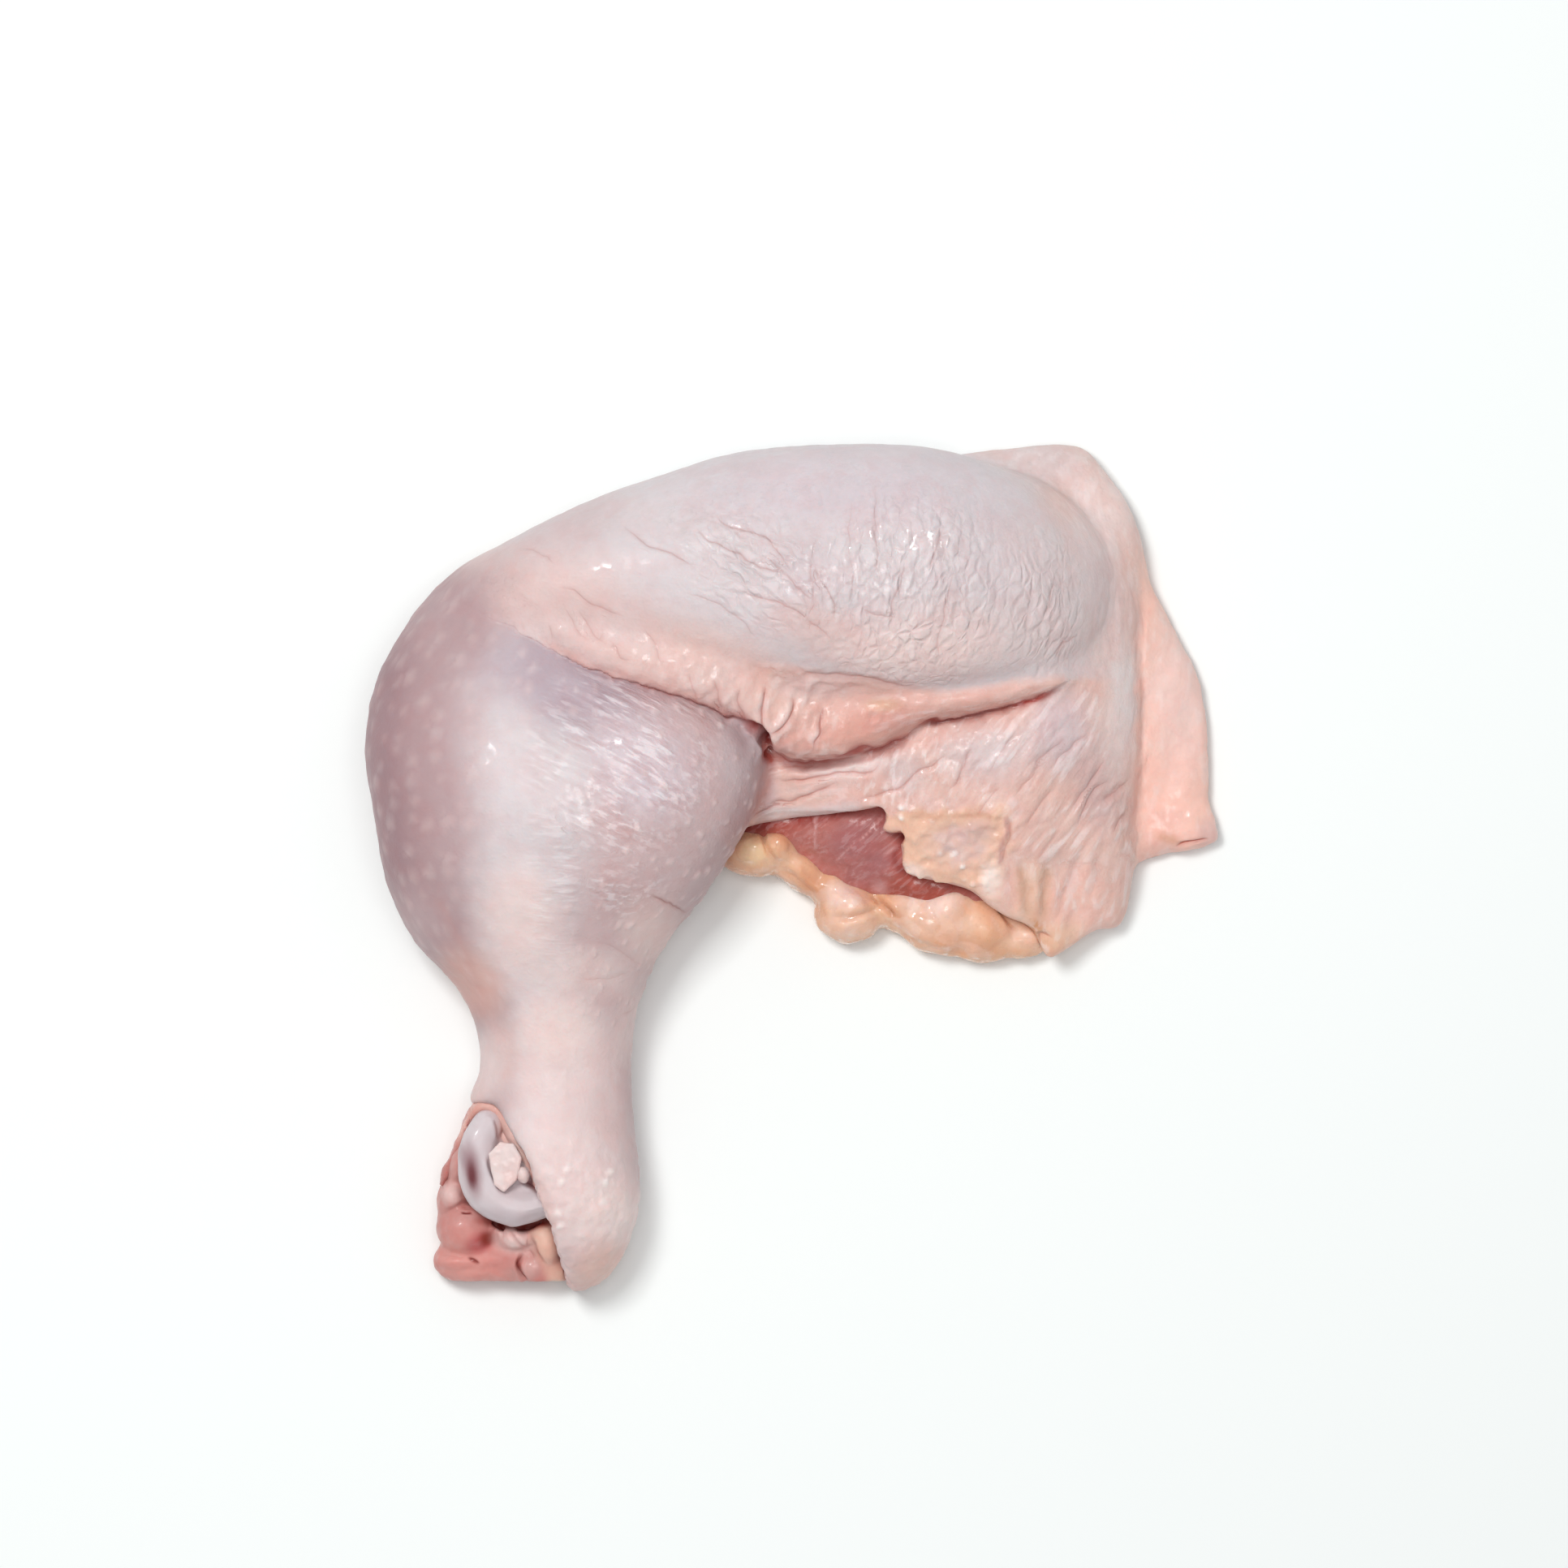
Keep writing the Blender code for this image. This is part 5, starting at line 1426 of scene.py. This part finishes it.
# the shin bone, with its smooth joint end
bone = {
    "voxel": 0.5,
    "rounds": 5,
    "triangles": 60000,
    "tones": {"cartilage": (212, 202, 206), "bluish": (196, 182, 187), "plum": (150, 112, 118),
              "spot": (106, 46, 52), "pink": (214, 168, 158), "bone": (226, 210, 196),
              "wine": (130, 60, 56)},
    "coats": [
        ("bluish", (-57.6, -50), (3, 6), 10, 0.2),
        ("pink", (-48.8, -54.4), (1.5, 4), 24, 0.9),
        ("plum", (-59.0, -56.5), (2.4, 7.5), 8, 0.9),
        ("spot", (-59.1, -57.3), (1.3, 3.8), 6, 0.95),
        ("bluish", (-52, -66), (9, 2.4), -14, 0.7),
        ("pink", (-52, -49), (3.4, 4.6), 25, 0.9),
        ("wine", (-47.6, -58.8), (1.8, 2.4), 30, 0.8),
        ("plum", (-60.8, -54), (1.4, 5), 16, 0.4),
    ],
    # the rim of the hollow in the joint's end: line, depth, width, and darkness of the painted shade in it
    "notch": (
        (((-56.0, -53.5), (-55.7, -55.6), (-54.8, -58.0), (-53.8, -59.8), (-52.7, -60.7)), 0.5, 0.45, 0.6),
        (((-55.0, -46.9), (-54.4, -48.7), (-54.2, -51.1)), 0.3, 0.35, 0.5),
        (((-50.9, -59.2), (-48.8, -58.9), (-47.0, -60.1), (-45.5, -62.9)), 0.5, 0.5, 0.9),
    ),
    "finish": {
        "shade": (0.5, 0.3, 0.3),
        "mottle": {"Cloud Size": 160.0, "Clouds": 0.1, "Blotch Size": 500.0, "Blotches": 0.05,
                   "Crease Strength": 1.0, "Tint Amount": 0.2},
        "grain": {"Relief": 0.00005, "Wetness": 0.15, "Rough": 0.45},
        "shader": {"Subsurface Weight": 0.2, "Subsurface Radius": (0.8, 0.6, 0.6), "IOR": 1.42,
                   "Coat Roughness": 0.1},
    },
}


def makeBone():
    obj, points, normals, flat = started("shin_bone", "bone", bone)
    rise = 0.12 * swell(points / 4, 81)
    hollow = np.zeros(len(points))
    lines = noLines(len(points))
    cutCreases(flat, normals, rise, hollow, lines, bone["notch"], -0.3)
    points += normals * rise[:, None]
    # its end is drawn up, most of all on the right
    whole = 1.0 * patch(flat, (-53, -67.5), (10, 7), -10, 1.0)
    points[:, 1] += whole + 2.2 * patch(flat, (-45.5, -67), (7, 5), 10, 1.0)
    writePoints(obj.data, points)
    colours = blended(coloured(flat, bone), bone["tones"]["bone"], ramp(points[:, 1], -45, -40))
    paintAll(obj.data, colours, hollow, lines)
    thinTo(obj, bone["triangles"])
    obj.data.materials.append(makeFlesh("jointCartilage", bone["finish"]))
    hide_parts("shin_bone")
    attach(obj, "root")
    print("bone ready")


# cut tissue round the joint: the dome of the foot bone, its thick rim, ligaments, membrane and a yellow strip
tissue = {
    "voxel": 0.42,
    "rounds": 3,
    "triangles": 90000,
    "tones": {
        "red": (200, 136, 130),
        "coral": (220, 155, 147),
        "wine": (150, 54, 42),
        "rosePink": (206, 156, 150),
        "ligament": (230, 202, 198),
        # paler than the ligament itself: painted light, as it lies low in shade
        "membrane": (204, 148, 142),
        "yellow": (232, 194, 176),
        "mauve": (212, 172, 167),
        "cherry": (204, 104, 104),
    },
    "coats": [
        ("coral", (-60, -72), (9, 7), 0, 0.8),
        ("coral", (-58, -76), (10, 3), 0, 0.8),
        ("cherry", (-57.6, -69.9), (4.2, 3.0), 20, 0.9),
        ("wine", (-56.2, -69.1), (2.7, 2.0), 10, 1.0),
        # painted shade: dark red in the gap under the joint's end
        ("wine", (-52.2, -66.4), (8, 1.6), -6, 1.0),
        ("wine", (-58.8, -73.1), (1.5, 0.6), -30, 0.8),
        ("rosePink", (-50, -75), (5, 3), 0, 0.7),
        # painted light: the ligament, low in shade, is painted paler than it is
        ("ligament", (-51, -69.5), (6, 3.6), -10, 0.95),
        ("yellow", (-45.4, -70), (3.6, 7), 12, 0.95),
        ("yellow", (-43.4, -76), (3, 4), 20, 0.9),
        ("mauve", (-48.2, -74.2), (2.6, 3.2), 0, 0.7),
        ("wine", (-50.5, -74.0), (0.7, 1.6), 20, 0.7),
        # painted shade: dark red in the gap under the joint's end
        ("wine", (-47.0, -66.6), (4.6, 1.5), 12, 1.0),
        ("membrane", (-62, -56), (4, 12), -14, 0.9),
        ("ligament", (-62.8, -60.8), (2.4, 3.0), 0, 0.7),
        ("ligament", (-60.5, -65.6), (3.4, 1.8), 20, 0.2),
    ],
    "lumps": [
        ((-60.0, -69.0), (5.6, 5.4), 0, 0.3),
        ((-59.5, -75.8), (7.5, 2.4), 0, 0.3),
        ((-51.4, -69.3), (3.4, 2.4), -20, 1.3),
        ((-48.6, -68.9), (2.8, 1.8), 20, 1.1),
        ((-48.4, -74.6), (2.4, 2.8), 0, 0.6),
        ((-45.2, -70.4), (3.0, 6.0), 12, 0.6),
        ((-63.0, -61.4), (2.2, 2.8), 0, 0.7),
        ((-62.4, -73.4), (5.0, 1.8), 0, 0.9),
        ((-57.0, -73.4), (4.0, 1.6), 0, 0.4),
    ],
    "creases": (
        (((-65.2, -72.2), (-62.4, -72.4), (-60.0, -72.6)), 0.06, 0.4, 0.12),
        (((-61.2, -64.3), (-60.0, -64.4), (-58.9, -64.3)), 0.3, 0.22, 1.0),
        (((-55.4, -65.8), (-53.8, -66.8), (-52.8, -67.3)), 1.2, 0.6, 1.0),
        (((-51.4, -67.0), (-48.8, -66.9), (-46.0, -65.4)), 1.2, 0.6, 1.0),
        (((-49.4, -71.8), (-50.3, -73.2), (-50.5, -74.4), (-49.6, -76.0), (-48.4, -77.2)), 0.7, 0.4, 0.8),
        (((-49.6, -71.6), (-48.4, -71.4), (-47.4, -72.8)), 0.2, 0.3, 0.2),
        (((-52.0, -67.8), (-50.6, -69.4), (-49.2, -70.4)), 0.3, 0.3, 0.3),
        (((-47.6, -68.0), (-47.2, -71.0), (-45.4, -74.0)), 0.3, 0.4, 0.3),
        (((-65.0, -64.8), (-62.4, -63.4), (-60.1, -62.4), (-57.9, -63.4), (-55.0, -65.6), (-53.3, -67.9),
          (-53.0, -69.8)), 0.3, 0.4, 0.35),
        (((-59.8, -72.6), (-58.6, -73.0), (-57.6, -73.8)), 0.1, 0.3, 0.8),
    ),
    "finish": {
        "shade": (0.4, 0.1, 0.09),
        "mottle": {"Cloud Size": 260.0, "Clouds": 0.12, "Blotch Size": 900.0, "Blotches": 0.08,
                   "Crease Strength": 1.0, "Tint Size": 300.0},
        "grain": {"Relief": 0.00008, "Wetness": 0.3, "Rough": 0.46},
    },
}


def makeTissue():
    obj, points, normals, flat = started("hock_tissue", "tissue", tissue)
    rise = raised(points, normals, tissue["lumps"])
    rise += 0.12 * swell(points / 3.0, 91) + 0.05 * swell(points / 1.2, 92)
    hollow = np.zeros(len(points))
    lines = noLines(len(points))
    cutCreases(flat, normals, rise, hollow, lines, tissue["creases"], -0.2)
    points += normals * (rise * ramp(points[:, 2], 0.1, 2))[:, None]
    points[:, 2] = np.maximum(points[:, 2], 0)
    writePoints(obj.data, points)
    paintAll(obj.data, coloured(flat, tissue), hollow, lines)
    thinTo(obj, tissue["triangles"])
    obj.data.materials.append(makeFlesh("cutTissue", tissue["finish"]))
    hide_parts("hock_tissue")
    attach(obj, "root")
    print("tissue ready")


# the skin's raw inner lip round the opening at the hock, and the tissue that lines the opening
lining = {
    # along the lip: place, radius, level
    "lip": ((-65.0, -59.6, 0.5, 7.5), (-63.9, -57.0, 1.0, 9), (-62.5, -54.3, 0.9, 10),
            (-61.1, -50.6, 0.7, 12), (-59.7, -47.4, 0.8, 13.5), (-58.4, -45.4, 1.0, 14.5),
            (-56.3, -44.6, 1.2, 14.8), (-54.2, -45.6, 1.4, 14.8), (-52.2, -48.6, 1.5, 14.8),
            (-50.4, -52.4, 1.3, 14.8), (-48.3, -56.8, 1.0, 14.8), (-46.2, -60.6, 0.7, 14.8)),
    "sides": 16,
    "tall": 2.2,  # its height to its width
    "bed": {"at": (-53.0, -50.5, 10.2), "size": (7.0, 9.0, 5.5), "turn": 24},
    "tones": {"salmon": (224, 178, 168), "peach": (234, 200, 192), "brown": (208, 150, 138),
              "red": (192, 126, 120)},
    "coats": [("peach", (-51.5, -52), (3.5, 7), 24, 1.0), ("brown", (-59, -46), (3, 3), 0, 0.7)],
    "finish": {
        "shade": (0.5, 0.28, 0.25),
        "mottle": {"Cloud Size": 260.0, "Clouds": 0.15, "Blotch Size": 900.0, "Blotches": 0.1,
                   "Crease Strength": 1.0},
        "grain": {"Relief": 0.0001, "Wetness": 0.5, "Rough": 0.4},
        "shader": {"Coat Roughness": 0.14},
    },
}


def makeLining():
    bm = bmesh.new()
    line = rounded(lining["lip"], 8)
    sides = lining["sides"]
    rings = []
    for i, (x, y, radius, level) in enumerate(line):
        ahead = line[min(i + 1, len(line) - 1)] - line[max(i - 1, 0)]
        out = np.array([-ahead[1], ahead[0]]) / np.hypot(ahead[0], ahead[1])
        ring = []
        for k in range(sides):
            turn = k * math.tau / sides
            spot = (x + out[0] * radius * math.cos(turn), y + out[1] * radius * math.cos(turn),
                    level + lining["tall"] * radius * math.sin(turn))
            ring.append(bm.verts.new([c * mm for c in spot]))
        rings.append(ring)
    for one, two in zip(rings, rings[1:]):
        for k in range(sides):
            bm.faces.new((one[k], one[k - 1], two[k - 1], two[k]))
    bm.faces.new(rings[0])
    bm.faces.new(rings[-1][::-1])
    addBall(bm, lining["bed"], lining["bed"]["at"][2], 5)
    bmesh.ops.recalc_face_normals(bm, faces=bm.faces)
    obj = objectOf("lining", bm)
    obj.data.shade_smooth()
    points = readPoints(obj.data)
    normals = readNormals(obj.data)
    points += normals * (0.25 * swell(points / 2.4, 97) + 0.1 * swell(points / 1.0, 98))[:, None]
    writePoints(obj.data, points)
    flat = seenFromAbove(points)
    redness = patch(flat, (-64, -56), (4, 8), -24, 0.6)
    colours = blended(coloured(flat, lining), lining["tones"]["red"], redness)
    paintAll(obj.data, colours, np.zeros(len(points)), noLines(len(points)))
    obj.data.materials.append(makeFlesh("rawLining", lining["finish"]))
    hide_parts("hock_tissue")
    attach(obj, "root")
    print("lining ready")


# the loose chip of cartilage in the hollow of the joint
chip = {
    "voxel": 0.22,
    "rounds": 2,
    "triangles": 20000,
    "tones": {"cream": (228, 212, 210), "pink": (224, 200, 196)},
    "coats": [("pink", (-51, -58), (3, 2), 0, 0.6)],
    "crumb": {"at": (-49.6, -57.2), "size": (1.25, 1.6, 1.3), "turn": 18},
    "finish": {
        "shade": (0.7, 0.5, 0.48),
        "mottle": {"Cloud Size": 300.0, "Clouds": 0.1, "Blotch Size": 900.0, "Blotches": 0.06},
        "grain": {"Relief": 0.00008, "Wetness": 0.4, "Rough": 0.4},
        "shader": {"Subsurface Weight": 0.3, "Subsurface Radius": (1.0, 0.7, 0.6), "Coat Roughness": 0.15},
    },
}


def makeChip():
    obj, points = started("cartilage_chip", "chip", chip, 0)[:2]
    mesh = obj.data
    # longer and a little wider than its solid, with a small crumb beside it
    points[:, 0] = -52.8 + (points[:, 0] + 52.4) * 1.15
    points[:, 1] = -51.3 + (points[:, 1] + 51.5) * 1.16
    writePoints(mesh, points)
    bm = bmesh.new()
    bm.from_mesh(mesh)
    addBall(bm, chip["crumb"], points[:, 2].max() - 1.2, 4)
    bm.to_mesh(mesh)
    bm.free()
    points = readPoints(mesh)
    flat = seenFromAbove(points)
    points += readNormals(mesh) * (0.12 * swell(points / 1.6, 95) + 0.05 * swell(points / 0.7, 96))[:, None]
    writePoints(mesh, points)
    paintAll(mesh, coloured(flat, chip), np.zeros(len(points)), noLines(len(points)))
    thinTo(obj, chip["triangles"])
    obj.data.materials.append(makeFlesh("whiteCartilage", chip["finish"]))
    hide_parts("cartilage_chip")
    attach(obj, "root")
    print("chip ready")


def makeFloor():
    bm = bmesh.new()
    bmesh.ops.create_grid(bm, x_segments=8, y_segments=8, size=3.0)
    floor = objectOf("floor", bm)
    floor.location.z = -0.05 * mm  # just clear of the leg
    material = bpy.data.materials.new("paleFloor")
    material.use_nodes = True
    shader = material.node_tree.nodes["Principled BSDF"]
    shader.inputs["Base Color"].default_value = (0.94, 0.98, 0.98, 1)
    shader.inputs["Roughness"].default_value = 0.9
    shader.inputs["Specular IOR Level"].default_value = 0.1
    floor.data.materials.append(material)


makeCamera()
makeLights()
makeFloor()
makeSkin()
makeMeat()
makeFat()
makeBone()
makeTissue()
makeLining()
makeChip()
